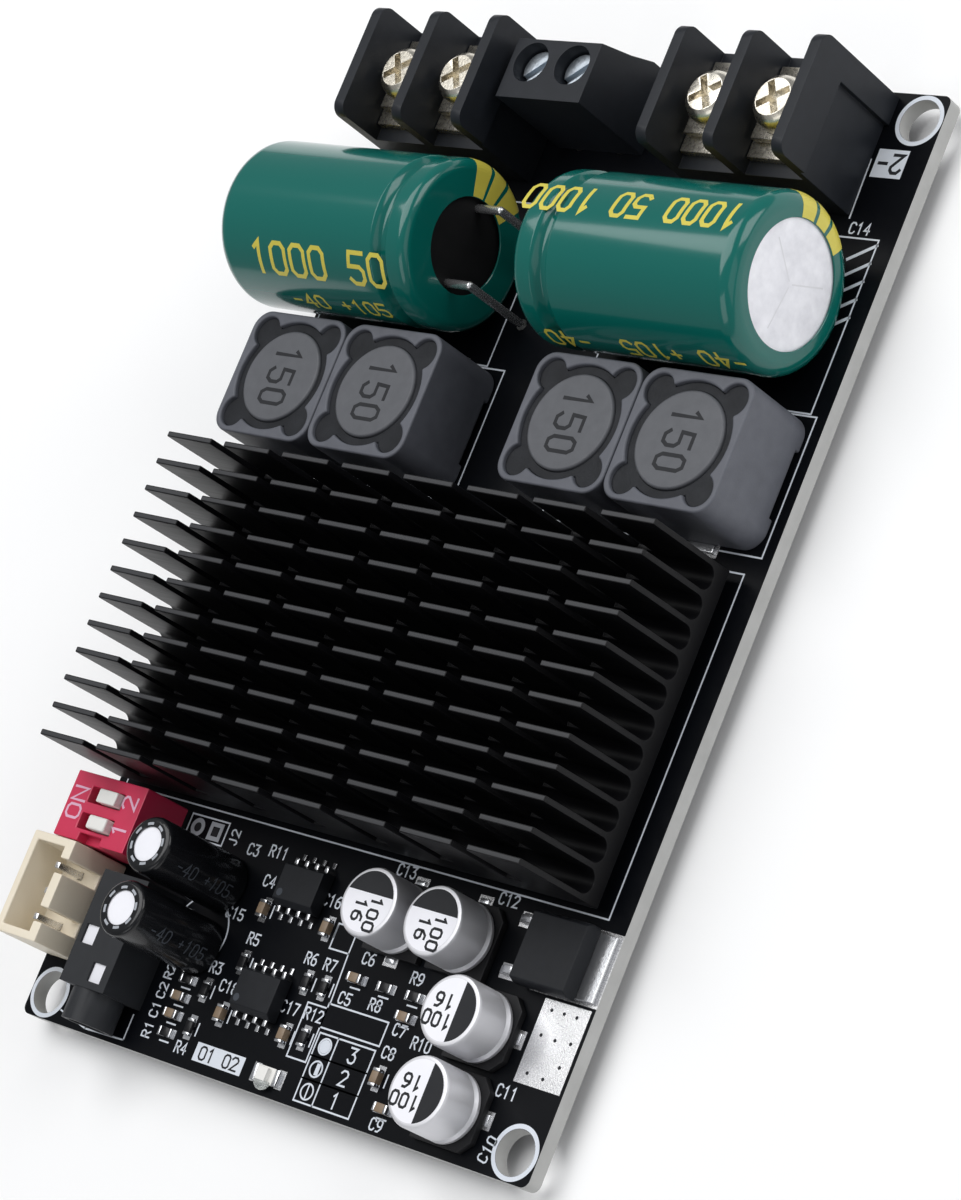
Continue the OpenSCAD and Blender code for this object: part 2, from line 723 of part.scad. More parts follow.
module circuit_board() {
    color("#101214") difference() {
        linear_extrude(board_t) board_outline();
        for (sx = [-1, 1]) for (sy = [-1, 1])
            translate([sx * (board_w / 2 - mount_hole_inset), sy * (board_l / 2 - mount_hole_inset), -cut])
                cylinder(h = board_t + 2 * cut, d = mount_hole_d);
        on_board() translate([0, 0, -board_t - cut]) {
            for (p = lead_holes) translate([p[0], p[1], 0]) cylinder(h = board_t + 2 * cut, d = p[2]);
            for (x = foot_xs) translate([x, hs_yc, 0]) cylinder(h = board_t + 2 * cut, d = round_hole(sink_screw_d));
        }
    }
}

module solder_joints() {
    color("#c9ccd0") on_board() for (p = lead_holes) translate([p[0], p[1], -board_t - joint_h])
        cylinder(h = joint_h, r1 = joint_tip_r, r2 = p[2] / 2 + joint_ring);
}

module heatsink() {
    color("#141518") on_board() difference() {
        union() {
            translate([hs_x0, hs_y0, hs_z0]) cube([hs_w, hs_d, hs_h]);
            for (x = foot_xs) translate([x, hs_yc, 0]) cylinder(h = hs_z0 + heatsink_base_t / 2, d = foot_d);
        }
        for (i = [0 : fin_n - 2]) translate([hs_x0 - cut, hs_y0 + fin_t + groove_w / 2 + i * fin_pitch, groove_z]) {
            rotate([0, 90, 0]) cylinder(h = hs_w + 2 * cut, d = groove_w);
            translate([0, -groove_w / 2, 0]) cube([hs_w + 2 * cut, groove_w, heatsink_top]);
        }
        for (j = [1 : cross_cuts])
            translate([hs_x0 + j * cross_pitch - cross_cut_w, hs_y0 - cut, groove_z + groove_w / 4])
                cube([cross_cut_w, hs_d + 2 * cut, heatsink_top]);
        for (x = foot_xs) translate([x, hs_yc, -cut])
            cylinder(h = sink_screw_top + cut, d = sink_screw_d + 2 * nest_play);
    }
}

module heatsink_screws() {
    color("#b9bcc2") on_board() for (x = foot_xs) translate([x, hs_yc, -board_t - joint_h]) difference() {
        union() {
            cylinder(h = joint_h, d = sink_screw_head_d);
            cylinder(h = joint_h + board_t + sink_screw_top - sink_tip_play, d = sink_screw_d);
        }
        for (a = [0, 90]) rotate([0, 0, a]) translate([0, 0, -cut]) post(cross_len, cross_w, cut + joint_h / 2);
    }
}

module thermal_pad() {
    color("#8f99a6") on_board() translate([hs_xc, hs_yc, chip_h]) post(chip_w, chip_d, thermal_pad_t);
}

module amplifier_chip() {
    color("#1c1d20") on_board() translate([hs_xc, hs_yc, 0]) post(chip_w, chip_d, chip_h);
}

module amplifier_leads() {
    color("#c3c6ca") on_board() translate([hs_xc, hs_yc, 0]) for (a = [0, 180]) rotate([0, 0, a])
        for (i = [0 : chip_lead_n - 1])
            translate([(i - (chip_lead_n - 1) / 2) * chip_lead_pitch, chip_d / 2, 0])
                gull_lead(chip_lead_w, chip_lead_reach, chip_h / 2, chip_lead_reach / 3, chip_lead_t);
}

// Capacitor laid along X: its own axis runs from the open end to the closed end
module lay_cap(open_x, side) {
    on_board() translate([open_x, cap_y, cap_z]) rotate([0, side * 90, 0]) children();
}

// Outline of the can grown by a given amount, from the open end to the closed end
function can_wall(grow) = concat(
    [for (a = [-90 : end_step : 0]) [cap_can_r - cap_lip_r + (cap_lip_r + grow) * cos(a),
        cap_lip_r + (cap_lip_r + grow) * sin(a)]],
    [[cap_can_r + grow, crimp_u - crimp_half], [cap_can_r - crimp_depth + grow, crimp_u - crimp_flat],
        [cap_can_r - crimp_depth + grow, crimp_u + crimp_flat], [cap_can_r + grow, crimp_u + crimp_half]],
    [for (a = [0 : end_step : 90]) [cap_can_r - cap_end_r + (cap_end_r + grow) * cos(a),
        cap_can_l - cap_end_r + (cap_end_r + grow) * sin(a)]]);
function reversed(list) = [for (i = [len(list) - 1 : -1 : 0]) list[i]];

module cap_sleeve() {
    color("#0f6f5c") rotate_extrude() polygon(concat(
        [[cap_ring_d / 2, -nest_play], [cap_ring_d / 2, -cap_wrap]],
        can_wall(cap_wrap),
        [[cap_disc_d / 2, cap_can_l + cap_wrap], [cap_disc_d / 2, cap_can_l + nest_play]],
        reversed(can_wall(nest_play))));
}

module cap_can() {
    color("#c8cbd0") rotate_extrude() polygon(concat(
        [[0, bung_face + bung_t], [bung_d / 2, bung_face + bung_t], [bung_d / 2, 0]],
        can_wall(0), [[0, cap_can_l]]));
}

module cap_bung() {
    color("#17181a") translate([0, 0, bung_face]) cylinder(h = bung_t, d = bung_d - 2 * nest_play);
}

// Two leads from the bung face along X, bent down through the board
module cap_leads(open_x, side) {
    color("#b9bcc0") on_board() for (s = [-1, 1]) translate([open_x, cap_y + s * cap_lead_pitch / 2, cap_z]) union() {
        translate([side * bung_face, 0, 0]) rotate([0, -side * 90, 0])
            cylinder(h = cap_lead_run + bung_face, d = cap_lead_d);
        translate([-side * cap_lead_run, 0, 0]) sphere(d = cap_lead_d);
        translate([-side * cap_lead_run, 0, -cap_z - board_t]) cylinder(h = cap_z + board_t, d = cap_lead_d);
    }
}

module left_cap_sleeve() {
    lay_cap(cap_left_open, -1) cap_sleeve();
}

module left_cap_can() {
    lay_cap(cap_left_open, -1) cap_can();
}

module left_cap_bung() {
    lay_cap(cap_left_open, -1) cap_bung();
}

module left_cap_leads() {
    cap_leads(cap_left_open, -1);
}

module right_cap_sleeve() {
    lay_cap(cap_right_open, 1) cap_sleeve();
}

module right_cap_can() {
    lay_cap(cap_right_open, 1) cap_can();
}

module right_cap_bung() {
    lay_cap(cap_right_open, 1) cap_bung();
}

module right_cap_leads() {
    cap_leads(cap_right_open, 1);
}

// Opening of an inductor shield: a bore with four corner lobes
module ind_opening(shrink) {
    union() {
        circle(d = ind_bore_d - 2 * shrink);
        for (sx = [-1, 1]) for (sy = [-1, 1]) translate([sx * ind_lobe_at, sy * ind_lobe_at])
            circle(d = ind_lobe_d - 2 * shrink);
    }
}

module inductor_shields() {
    color("#5b6068") on_board() for (x = ind_xs) translate([x, ind_y, 0]) difference() {
        translate([-ind_w / 2, -ind_w / 2, 0]) linear_extrude(ind_h) round_rect(ind_w, ind_w, ind_corner_r);
        translate([0, 0, ind_floor_t]) linear_extrude(ind_h) ind_opening(0);
        for (s = [-1, 1]) translate([s * ind_w / 2, 0, -cut]) post(ind_slot_w, ind_w / 2, cut + ind_slot_h);
    }
}

module inductor_cores() {
    color("#6d727b") on_board() for (x = ind_xs) translate([x, ind_y, ind_floor_t])
        cylinder(h = ind_core_h - ind_floor_t, d = ind_core_d);
}

module inductor_resin() {
    color("#454a52") on_board() for (x = ind_xs) translate([x, ind_y, ind_floor_t]) difference() {
        linear_extrude(ind_h - ind_resin_drop - ind_floor_t) ind_opening(nest_play);
        translate([0, 0, -cut]) cylinder(h = ind_h + cut, d = ind_core_d + 2 * nest_play);
    }
}

module inductor_terminals() {
    color("#c6c8cc") on_board() for (x = ind_xs) for (s = [-1, 1])
        translate([x, ind_y + s * (ind_w + ind_term_reach) / 2, 0]) post(ind_term_w, ind_term_reach, ind_term_t);
}

// Side wall of a speaker terminal, its top corners rounded
module bar_wall() {
    profile_x(bar_wall_t) union() {
        square([bar_d, bar_h - bar_round_r]);
        translate([bar_round_r, 0]) square([bar_d - 2 * bar_round_r, bar_h]);
        for (y = [bar_round_r, bar_d - bar_round_r]) translate([y, bar_h - bar_round_r]) circle(r = bar_round_r);
    }
}

module barrier_housing(x0) {
    color("#1b1c1f") on_board() translate([x0, bar_y0, 0]) difference() {
        union() {
            cube([bar_w, bar_d, bar_shelf]);
            for (i = [0 : 2]) translate([i * bar_pitch, 0, 0]) bar_wall();
        }
        translate([bar_w - bar_pocket_t, -cut, -cut])
            cube([bar_pocket_t + cut, bar_d - bar_band + cut, bar_pocket_h + cut]);
        for (i = [0, 1]) translate([bar_wall_t / 2 + bar_pitch * (i + 0.5), bar_d / 2, 0]) {
            translate([0, 0, 1]) cylinder(h = bar_h, d = bar_screw_d + 2 * run_play);
            translate([0, bar_leg_back, -cut])
                post(bar_leg_w + 2 * nest_play, bar_leg_t + 2 * nest_play, bar_h + cut);
        }
    }
}

module left_barrier_housing() {
    barrier_housing(bar_left_x);
}

module right_barrier_housing() {
    barrier_housing(bar_right_x);
}

module barrier_contacts() {
    color("#cfd1d4") on_board() for (x = bar_poles) translate([x, bar_screw_y, 0]) difference() {
        union() {
            translate([0, 0, bar_shelf]) post(bar_plate_w, bar_plate_d, bar_plate_t);
            translate([0, bar_leg_back, -board_t]) post(bar_leg_w, bar_leg_t, board_t + bar_shelf + bar_plate_t / 2);
        }
        translate([0, 0, bar_shelf - cut]) cylinder(h = bar_plate_t + 2 * cut, d = bar_screw_d + 2 * run_play);
    }
}

module barrier_washer(i) {
    color("#d6d7d9") on_board() translate([bar_poles[i], bar_screw_y, washer_z]) difference() {
        post(washer_w, washer_d, washer_t);
        translate([0, 0, -cut]) cylinder(h = washer_t + 2 * cut, d = bar_screw_d + 2 * run_play);
    }
}

module barrier_screw(i) {
    color("#e2e2e0") on_board() translate([bar_poles[i], bar_screw_y, bar_head_z]) difference() {
        union() {
            rotate_extrude() polygon([[0, 0], [bar_head_d / 2, 0], [bar_head_d / 2, bar_head_h * 0.55],
                [bar_head_d * 0.46, bar_head_h * 0.8], [bar_head_d * 0.36, bar_head_h], [0, bar_head_h]]);
            translate([0, 0, -bar_screw_len]) cylinder(h = bar_screw_len + bar_head_h / 4, d = bar_screw_d);
        }
        for (a = [0, 90]) rotate([0, 0, a + cross_turn]) translate([0, 0, bar_head_h - cross_depth])
            post(cross_len, cross_w, cross_depth + cut);
    }
}

module barrier_washer_1() {
    barrier_washer(0);
}

module barrier_washer_2() {
    barrier_washer(1);
}

module barrier_washer_3() {
    barrier_washer(2);
}

module barrier_washer_4() {
    barrier_washer(3);
}

module barrier_screw_1() {
    barrier_screw(0);
}

module barrier_screw_2() {
    barrier_screw(1);
}

module barrier_screw_3() {
    barrier_screw(2);
}

module barrier_screw_4() {
    barrier_screw(3);
}

module power_housing() {
    color("#17181b") on_board() difference() {
        translate([pwr_x0, pwr_y0, 0]) profile_x(pwr_w) polygon([[0, 0], [pwr_d, 0], [pwr_d, pwr_foot_h],
            [(pwr_d + pwr_top_d) / 2, (pwr_foot_h + pwr_h) / 2 - 0.5], [pwr_top_d, pwr_h], [0, pwr_h]]);
        for (x = pwr_poles) translate([x, pwr_pole_line, 0]) {
            translate([0, 0, pwr_floor_t]) post(chamber_w, chamber_d, chamber_top - pwr_floor_t);
            translate([0, 0, chamber_top - cut])
                cylinder(h = pwr_ledge_t + 2 * cut, d = pwr_screw_d + 2 * run_play);
            translate([0, 0, pwr_ledge]) cylinder(h = pwr_h, d = well_d);
            translate([-entry_w / 2, 0, clamp_z + clamp_bottom_t])
                cube([entry_w, pwr_d, pwr_bar_z - clamp_z - clamp_bottom_t]);
        }
        for (x = pwr_poles) translate([x, pwr_leg_line, 0]) {
            translate([0, 0, -cut]) post(pwr_bar_w + 2 * nest_play, pwr_bar_t + 2 * nest_play,
                pwr_bar_z + pwr_bar_t + cut);
            translate([-pwr_bar_w / 2 - nest_play, 0, pwr_bar_z])
                cube([pwr_bar_w + 2 * nest_play, chamber_d / 2, pwr_bar_t]);
        }
    }
}

module power_contacts() {
    color("#cfd1d4") on_board() for (x = pwr_poles) translate([x, pwr_leg_line, 0]) union() {
        translate([0, 0, -board_t]) post(pwr_bar_w, pwr_bar_t, board_t + pwr_bar_z + pwr_bar_t);
        translate([-pwr_bar_w / 2, 0, pwr_bar_z])
            cube([pwr_bar_w, pwr_pole_y + clamp_d / 2 - pwr_leg_y - pwr_bar_t, pwr_bar_t]);
    }
}

module power_clamp(i) {
    color("#c2b98a") on_board() translate([pwr_poles[i], pwr_pole_line, clamp_z]) difference() {
        post(clamp_w, clamp_d, clamp_h);
        translate([0, 0, clamp_bottom_t])
            post(clamp_w - 2 * clamp_side_t, clamp_d + 2 * cut, clamp_h - clamp_bottom_t - clamp_top_t);
        translate([0, 0, clamp_h / 2]) cylinder(h = clamp_h, d = pwr_screw_d + 2 * run_play);
    }
}

module power_screw(i) {
    color("#dcdcd8") on_board() translate([pwr_poles[i], pwr_pole_line, pwr_ledge + seat_lift]) difference() {
        union() {
            cylinder(h = pwr_head_h, d = pwr_head_d);
            translate([0, 0, pwr_bar_z + pwr_bar_t + pwr_tip_play - pwr_ledge])
                cylinder(h = pwr_ledge + pwr_head_h / 4 - pwr_bar_z - pwr_bar_t - pwr_tip_play, d = pwr_screw_d);
        }
        rotate([0, 0, pwr_slot_turn]) translate([0, 0, pwr_head_h * pwr_slot_floor])
            post(pwr_head_d + cut, pwr_slot_w, pwr_head_h + cut);
    }
}

module power_clamp_1() {
    power_clamp(0);
}

module power_clamp_2() {
    power_clamp(1);
}

module power_screw_1() {
    power_screw(0);
}

module power_screw_2() {
    power_screw(1);
}

module switch_cover() {
    color("#c22a30") on_board() difference() {
        translate([dip_xc, dip_yc, dip_base_t]) post(dip_w, dip_l, dip_h - dip_base_t);
        translate([dip_xc, dip_y0, dip_h - dip_notch_h])
            post(dip_notch_w, 2 * dip_notch_d, dip_notch_h + cut);
        for (s = [-1, 1]) translate([dip_xc, dip_yc + s * dip_pitch / 2, dip_floor]) {
            post(slot_l, knob_w + 2 * run_play, track_depth + cut);
            post(track_l, knob_w + 2 * knob_flange + 2 * run_play, knob_flange_t + 2 * seat_lift);
        }
    }
}

module switch_base() {
    color("#26272a") on_board() difference() {
        translate([dip_xc, dip_yc, 0]) post(dip_w, dip_l, dip_base_t);
        for (p = dip_holes) translate([p[0], p[1], -cut])
            post(dip_pin + 2 * nest_play, dip_pin + 2 * nest_play, dip_base_t + 2 * cut);
    }
}

module switch_slider(s) {
    knob_y = dip_yc + s * dip_pitch / 2;
    color("#eceae6") on_board() translate([knob_off_x, knob_y, dip_floor + seat_lift]) union() {
        post(knob_l, knob_w, track_depth + knob_rise);
        post(knob_l + 2 * knob_flange, knob_w + 2 * knob_flange, knob_flange_t);
    }
}

module switch_slider_1() {
    switch_slider(-1);
}

module switch_slider_2() {
    switch_slider(1);
}

module switch_pins() {
    color("#c9cbce") on_board() for (p = dip_holes) translate([p[0], p[1], -board_t])
        post(dip_pin, dip_pin, board_t + dip_base_t);
}

module header_housing() {
    color("#e9e2cf") on_board() translate([-xh_over, xh_front_inset, 0]) difference() {
        cube([xh_w, xh_l, xh_h]);
        translate([xh_wall, xh_wall, xh_floor]) cube([xh_w - xh_wall - xh_key_wall, xh_l - 2 * xh_wall, xh_h]);
        for (s = [-1, 1]) translate([xh_w - xh_key_wall - cut, xh_l / 2 + s * xh_slot_y - xh_slot_w / 2, xh_floor])
            cube([xh_key_wall + 2 * cut, xh_slot_w, xh_h]);
        for (i = [-1, 0, 1]) translate([xh_pin_x, xh_l / 2 + i * xh_pitch, -cut])
            post(xh_pin + 2 * nest_play, xh_pin + 2 * nest_play, xh_h);
    }
}

module header_pins() {
    color("#d3d4d6") on_board() for (p = xh_holes) translate([p[0], p[1], -board_t])
        post(xh_pin, xh_pin, board_t + xh_pin_top);
}

module jack_windows(w, l, h) {
    for (p = jack_windows_at) translate([jack_xc + p[0], jack_front_inset + p[1], jack_win_z]) post(w, l, h);
}

module jack_body() {
    color("#202225") on_board() difference() {
        union() {
            translate([jack_xc - jack_w / 2, jack_front_inset, 0]) cube([jack_w, jack_l, jack_h]);
            translate([jack_xc, jack_tip_y, jack_zc]) rotate([-90, 0, 0])
                cylinder(h = jack_collar_l + cut, d = jack_collar_d);
        }
        translate([jack_xc, jack_tip_y - cut, jack_zc]) rotate([-90, 0, 0])
            cylinder(h = jack_bore_l + cut, d = jack_bore_d);
        jack_windows(jack_win_w, jack_win_l, jack_h);
    }
}

module jack_contacts() {
    color("#d5d6d4") on_board() union() {
        jack_windows(jack_win_w, jack_win_l, jack_plate_t);
        for (p = jack_holes) translate([p[0], p[1], -board_t]) post(jack_pin, jack_pin, board_t);
    }
}

module can_sleeves() {
    color("#1a1b1e") on_board() for (y = can_ys) translate([can_x, y, can_lift]) rotate_extrude()
        polygon([[can_d / 2 - can_sleeve_t, 0], [can_d / 2, 0], [can_d / 2, can_tall - can_soft],
            [can_d / 2 - can_soft * 0.3, can_tall - can_soft * 0.3], [can_d / 2 - can_soft, can_tall],
            [can_d / 2 - can_rim, can_tall], [can_d / 2 - can_rim, can_tall - can_sleeve_t],
            [can_d / 2 - can_soft - can_sleeve_t, can_tall - can_sleeve_t],
            [can_d / 2 - can_sleeve_t, can_tall - can_soft - can_sleeve_t]]);
}

module can_bodies() {
    color("#e6e6e4") on_board() for (y = can_ys) translate([can_x, y, can_lift]) rotate_extrude()
        polygon([[0, 0], [can_in_r, 0], [can_in_r, can_tall - can_soft - can_sleeve_t - nest_play],
            [can_in_r - can_soft, can_tall - can_sleeve_t - nest_play], [0, can_tall - can_sleeve_t - nest_play]]);
}

module can_leads() {
    color("#b9bcc0") on_board() for (p = can_holes) translate([p[0], p[1], -board_t])
        cylinder(h = board_t + can_lift, d = can_lead_d);
}

// Base of a surface capacitor with two corners cut, leads along Y
module smd_base() {
    linear_extrude(smd_base_t) polygon([[-smd_base_w / 2, -smd_base_w / 2], [smd_base_w / 2, -smd_base_w / 2],
        [smd_base_w / 2, smd_base_w / 2 - smd_chamfer], [smd_base_w / 2 - smd_chamfer, smd_base_w / 2],
        [-smd_base_w / 2 + smd_chamfer, smd_base_w / 2], [-smd_base_w / 2, smd_base_w / 2 - smd_chamfer]]);
}

// Places one shape at each surface capacitor, the rear row along Y and the side column along X
module smd_places() {
    on_board() {
        for (p = smd_rear) translate([p[0], p[1], 0]) children();
        for (p = smd_side) translate([p[0], p[1], 0]) rotate([0, 0, -90]) children();
    }
}

module surface_cap_bases() {
    color("#222326") smd_places() smd_base();
}

module surface_cap_cans() {
    r = smd_can_d / 2;
    tall = smd_h - smd_base_t;
    waist_r = r - smd_waist_in;
    color("#c4c6c9") smd_places() translate([0, 0, smd_base_t]) rotate_extrude() polygon(concat(
        [[0, 0], [r - smd_foot[0], 0], [r, smd_foot[1]], [r, smd_waist_z[0]], [waist_r, smd_waist_z[1]],
            [waist_r, smd_waist_z[2]], [r, smd_waist_z[3]]],
        [for (p = smd_top_round) [r - p[0], tall - p[1]]],
        [[0, tall]]));
}

module surface_cap_terminals() {
    color("#c9cbce") smd_places() for (s = [-1, 1]) translate([0, s * (smd_base_w + smd_term_reach) / 2, 0])
        post(smd_term_w, smd_term_reach, smd_term_t);
}

module opamp_bodies() {
    color("#1d1e21") on_board() for (y = so_ys) translate([so_x - so_w / 2, y, 0]) profile_x(so_w)
        polygon([[-so_d / 2, so_lift], [so_d / 2, so_lift], [so_d / 2, so_h * so_waist],
            [so_d / 2 - so_bevel, so_h], [-so_d / 2 + so_key_bevel, so_h], [-so_d / 2, so_h * so_waist]]);
}

module opamp_leads() {
    color("#c9cbce") on_board() for (y = so_ys) translate([so_x, y, 0]) for (a = [0, 180]) rotate([0, 0, a])
        for (i = [0 : 3]) translate([(i - 1.5) * so_pitch, so_d / 2, 0])
            gull_lead(so_lead_w, so_lead_reach, so_h * so_lead_level, so_lead_reach / 3, so_lead_t);
}

module regulator_body() {
    color("#1e1f22") on_board() translate([reg_x0, reg_yc, 0]) profile_x(reg_w)
        polygon([[-reg_d / 2, reg_tab_t], [reg_d / 2, reg_tab_t], [reg_d / 2, reg_h * reg_waist],
            [reg_d / 2 - reg_bevel, reg_h], [-reg_d / 2 + reg_bevel, reg_h], [-reg_d / 2, reg_h * reg_waist]]);
}

module regulator_metal() {
    color("#c6c8cb") on_board() translate([reg_x0, reg_yc, 0]) union() {
        translate([reg_tab_start, -reg_d / 2 + reg_bevel, 0])
            cube([reg_w + reg_tab_reach - reg_tab_start, reg_d - 2 * reg_bevel, reg_tab_t]);
        for (s = [-1, 1]) translate([0, s * reg_lead_y, 0]) rotate([0, 0, 90])
            gull_lead(reg_lead_w, reg_lead_reach, reg_h * reg_lead_level, reg_lead_reach / reg_foot_share, reg_lead_t);
        translate([-reg_stub, -reg_lead_w / 2, reg_h * reg_lead_level]) cube([reg_stub, reg_lead_w, reg_lead_t]);
    }
}

// Places one shape at each chip resistor: lying along X, then along Y
module resistor_places() {
    on_board() {
        for (p = concat(filter_r, row_r)) translate([p[0], p[1], 0]) children();
        for (p = concat(filter_up, flank_r)) translate([p[0], p[1], 0]) rotate([0, 0, 90]) children();
    }
}

// Places one shape at each chip capacitor: lying along X, then along Y
module capacitor_places() {
    on_board() {
        for (p = concat(filter_c, row_c, [pair_c])) translate([p[0], p[1], 0]) children();
        for (p = concat(flank_c, [[pair_x, pair_y]])) translate([p[0], p[1], 0]) rotate([0, 0, 90]) children();
    }
}

// The two metal ends of one chip part
module metal_ends(h) {
    for (s = [-1, 1]) translate([s * (chip_part_l - chip_end) / 2, 0, 0]) post(chip_end, chip_part_w, h);
}

module chip_resistors() {
    color("#1a1b1d") resistor_places() post(chip_part_l - 2 * chip_end, chip_part_w, chip_r_h);
}

module chip_capacitors() {
    color("#a98b66") capacitor_places() post(chip_part_l - 2 * chip_end, chip_part_w, chip_c_h);
}

module chip_ends() {
    color("#d0d2d4") {
        resistor_places() metal_ends(chip_r_h);
        capacitor_places() metal_ends(chip_c_h);
        on_board() for (s = [-1, 1]) translate([lamp_x + s * (lamp_l - lamp_end) / 2, lamp_y, 0])
            post(lamp_end, lamp_w, lamp_h / 2);
    }
}

module power_lamp() {
    color("#f1ecd2") on_board() translate([lamp_x, lamp_y, 0]) union() {
        post(lamp_l - 2 * lamp_end, lamp_w, lamp_h / 2);
        post(lamp_l - 4 * lamp_end, lamp_w * lamp_lens_share, lamp_h);
    }
}

circuit_board();
solder_joints();
heatsink();
heatsink_screws();
thermal_pad();
amplifier_chip();
amplifier_leads();
left_cap_sleeve();
left_cap_can();
left_cap_bung();
left_cap_leads();
right_cap_sleeve();
right_cap_can();
right_cap_bung();
right_cap_leads();
inductor_shields();
inductor_cores();
inductor_resin();
inductor_terminals();
left_barrier_housing();
right_barrier_housing();
barrier_contacts();
barrier_washer_1();
barrier_washer_2();
barrier_washer_3();
barrier_washer_4();
barrier_screw_1();
barrier_screw_2();
barrier_screw_3();
barrier_screw_4();
power_housing();
power_contacts();
power_clamp_1();
power_clamp_2();
power_screw_1();
power_screw_2();
switch_cover();
switch_base();
switch_slider_1();
switch_slider_2();
switch_pins();
header_housing();
header_pins();
jack_body();
jack_contacts();
can_sleeves();
can_bodies();
can_leads();
surface_cap_bases();
surface_cap_cans();
surface_cap_terminals();
opamp_bodies();
opamp_leads();
regulator_body();
regulator_metal();
chip_resistors();
chip_capacitors();
chip_ends();
power_lamp();
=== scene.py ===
"""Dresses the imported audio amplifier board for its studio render.

The CAD nodes come in as a fixed frame in metres. Each class below owns one sub-assembly: it softens
the edges of the solids it stands for, adds printed marks, pads and small fittings where the frame
says they are, and gives every surface a procedural finish.
"""

import json
import logging
import math
from dataclasses import dataclass
from enum import Enum
from typing import Callable, Iterable, Optional, Sequence

import bmesh
import bpy
from mathutils import Matrix, Vector

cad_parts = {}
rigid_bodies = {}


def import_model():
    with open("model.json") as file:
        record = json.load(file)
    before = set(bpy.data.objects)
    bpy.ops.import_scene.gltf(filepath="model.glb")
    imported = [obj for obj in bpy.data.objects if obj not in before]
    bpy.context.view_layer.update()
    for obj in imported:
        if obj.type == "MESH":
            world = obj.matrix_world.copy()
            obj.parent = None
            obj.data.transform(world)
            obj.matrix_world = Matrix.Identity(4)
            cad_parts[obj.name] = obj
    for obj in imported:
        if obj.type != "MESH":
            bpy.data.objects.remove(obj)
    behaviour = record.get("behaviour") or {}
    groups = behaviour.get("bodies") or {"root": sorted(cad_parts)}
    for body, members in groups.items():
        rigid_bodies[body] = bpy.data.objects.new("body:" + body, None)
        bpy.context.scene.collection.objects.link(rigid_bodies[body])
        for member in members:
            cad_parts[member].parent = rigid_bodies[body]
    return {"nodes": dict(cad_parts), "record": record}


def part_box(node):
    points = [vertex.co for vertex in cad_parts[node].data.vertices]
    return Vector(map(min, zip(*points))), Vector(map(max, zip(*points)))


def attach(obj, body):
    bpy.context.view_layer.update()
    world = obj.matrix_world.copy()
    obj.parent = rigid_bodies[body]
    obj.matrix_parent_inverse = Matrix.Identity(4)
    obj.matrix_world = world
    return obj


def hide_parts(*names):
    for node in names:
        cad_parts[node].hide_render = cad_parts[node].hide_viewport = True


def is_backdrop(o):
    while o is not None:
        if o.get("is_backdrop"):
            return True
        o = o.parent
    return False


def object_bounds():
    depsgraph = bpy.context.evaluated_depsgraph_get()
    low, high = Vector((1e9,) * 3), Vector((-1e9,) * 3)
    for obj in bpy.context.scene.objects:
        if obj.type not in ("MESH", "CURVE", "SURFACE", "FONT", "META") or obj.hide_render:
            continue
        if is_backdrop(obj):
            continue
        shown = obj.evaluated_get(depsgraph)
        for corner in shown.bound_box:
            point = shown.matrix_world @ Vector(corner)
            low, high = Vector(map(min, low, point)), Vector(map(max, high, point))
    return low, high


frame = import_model()

LOG = logging.getLogger("amplifier_board")
MM = 0.001  # a millimetre in the frame's metres
WELD = 2e-6  # metres within which two corners of a CAD mesh are one
FOLD = 1e-12  # doubled area in square metres past which a triangle counts as turned over
FLAT_DEG = 0.5  # degrees within which neighbouring faces are one flat face
SHADE_EASE = 1.25  # how far past the crease angle the shading stays smooth
CLOUD_DETAIL = 3.0  # finer layers in the colour clouds of a finish
GRAIN_DETAIL = 6.0  # finer layers in its fine texture
SMOOTHEST = 0.02  # least roughness of a finish
INK = 0.02  # millimetres of ink
INK_SINK = 0.004  # millimetres that ink bites into a flat face
SKIN_SINK = 0.006  # millimetres that ink bites into a round one
NEAR = 1e-6  # millimetres within which two points of a line are one
LEAST_LEAN = 0.45  # keeps the corner of a sharp bend short
LETTER_GAP = 0.26  # room between letters, against their height
LINE_GAP = 1.6  # least room between letters, against their line width
AXIS_X = Vector((1.0, 0.0, 0.0))
AXIS_Y = Vector((0.0, 1.0, 0.0))
AXIS_Z = Vector((0.0, 0.0, 1.0))
RECORD = frame["record"]
SLOT_OF = {row["node"]: row["material_slot"] for row in RECORD["subparts"]}
BODY_OF = {node: body for body, nodes in RECORD["behaviour"]["bodies"].items() for node in nodes}
ROOT = BODY_OF["circuit_board"]
Colour = tuple[float, float, float]
Pair = tuple[float, float]
Quad = tuple[float, float, float, float]


class Grain(Enum):
    """How a finish's fine texture runs over the surface."""

    EVEN = (1.0, 1.0, 1.0)
    ALONG_X = (0.04, 1.0, 1.0)
    ALONG_Z = (1.0, 1.0, 0.06)


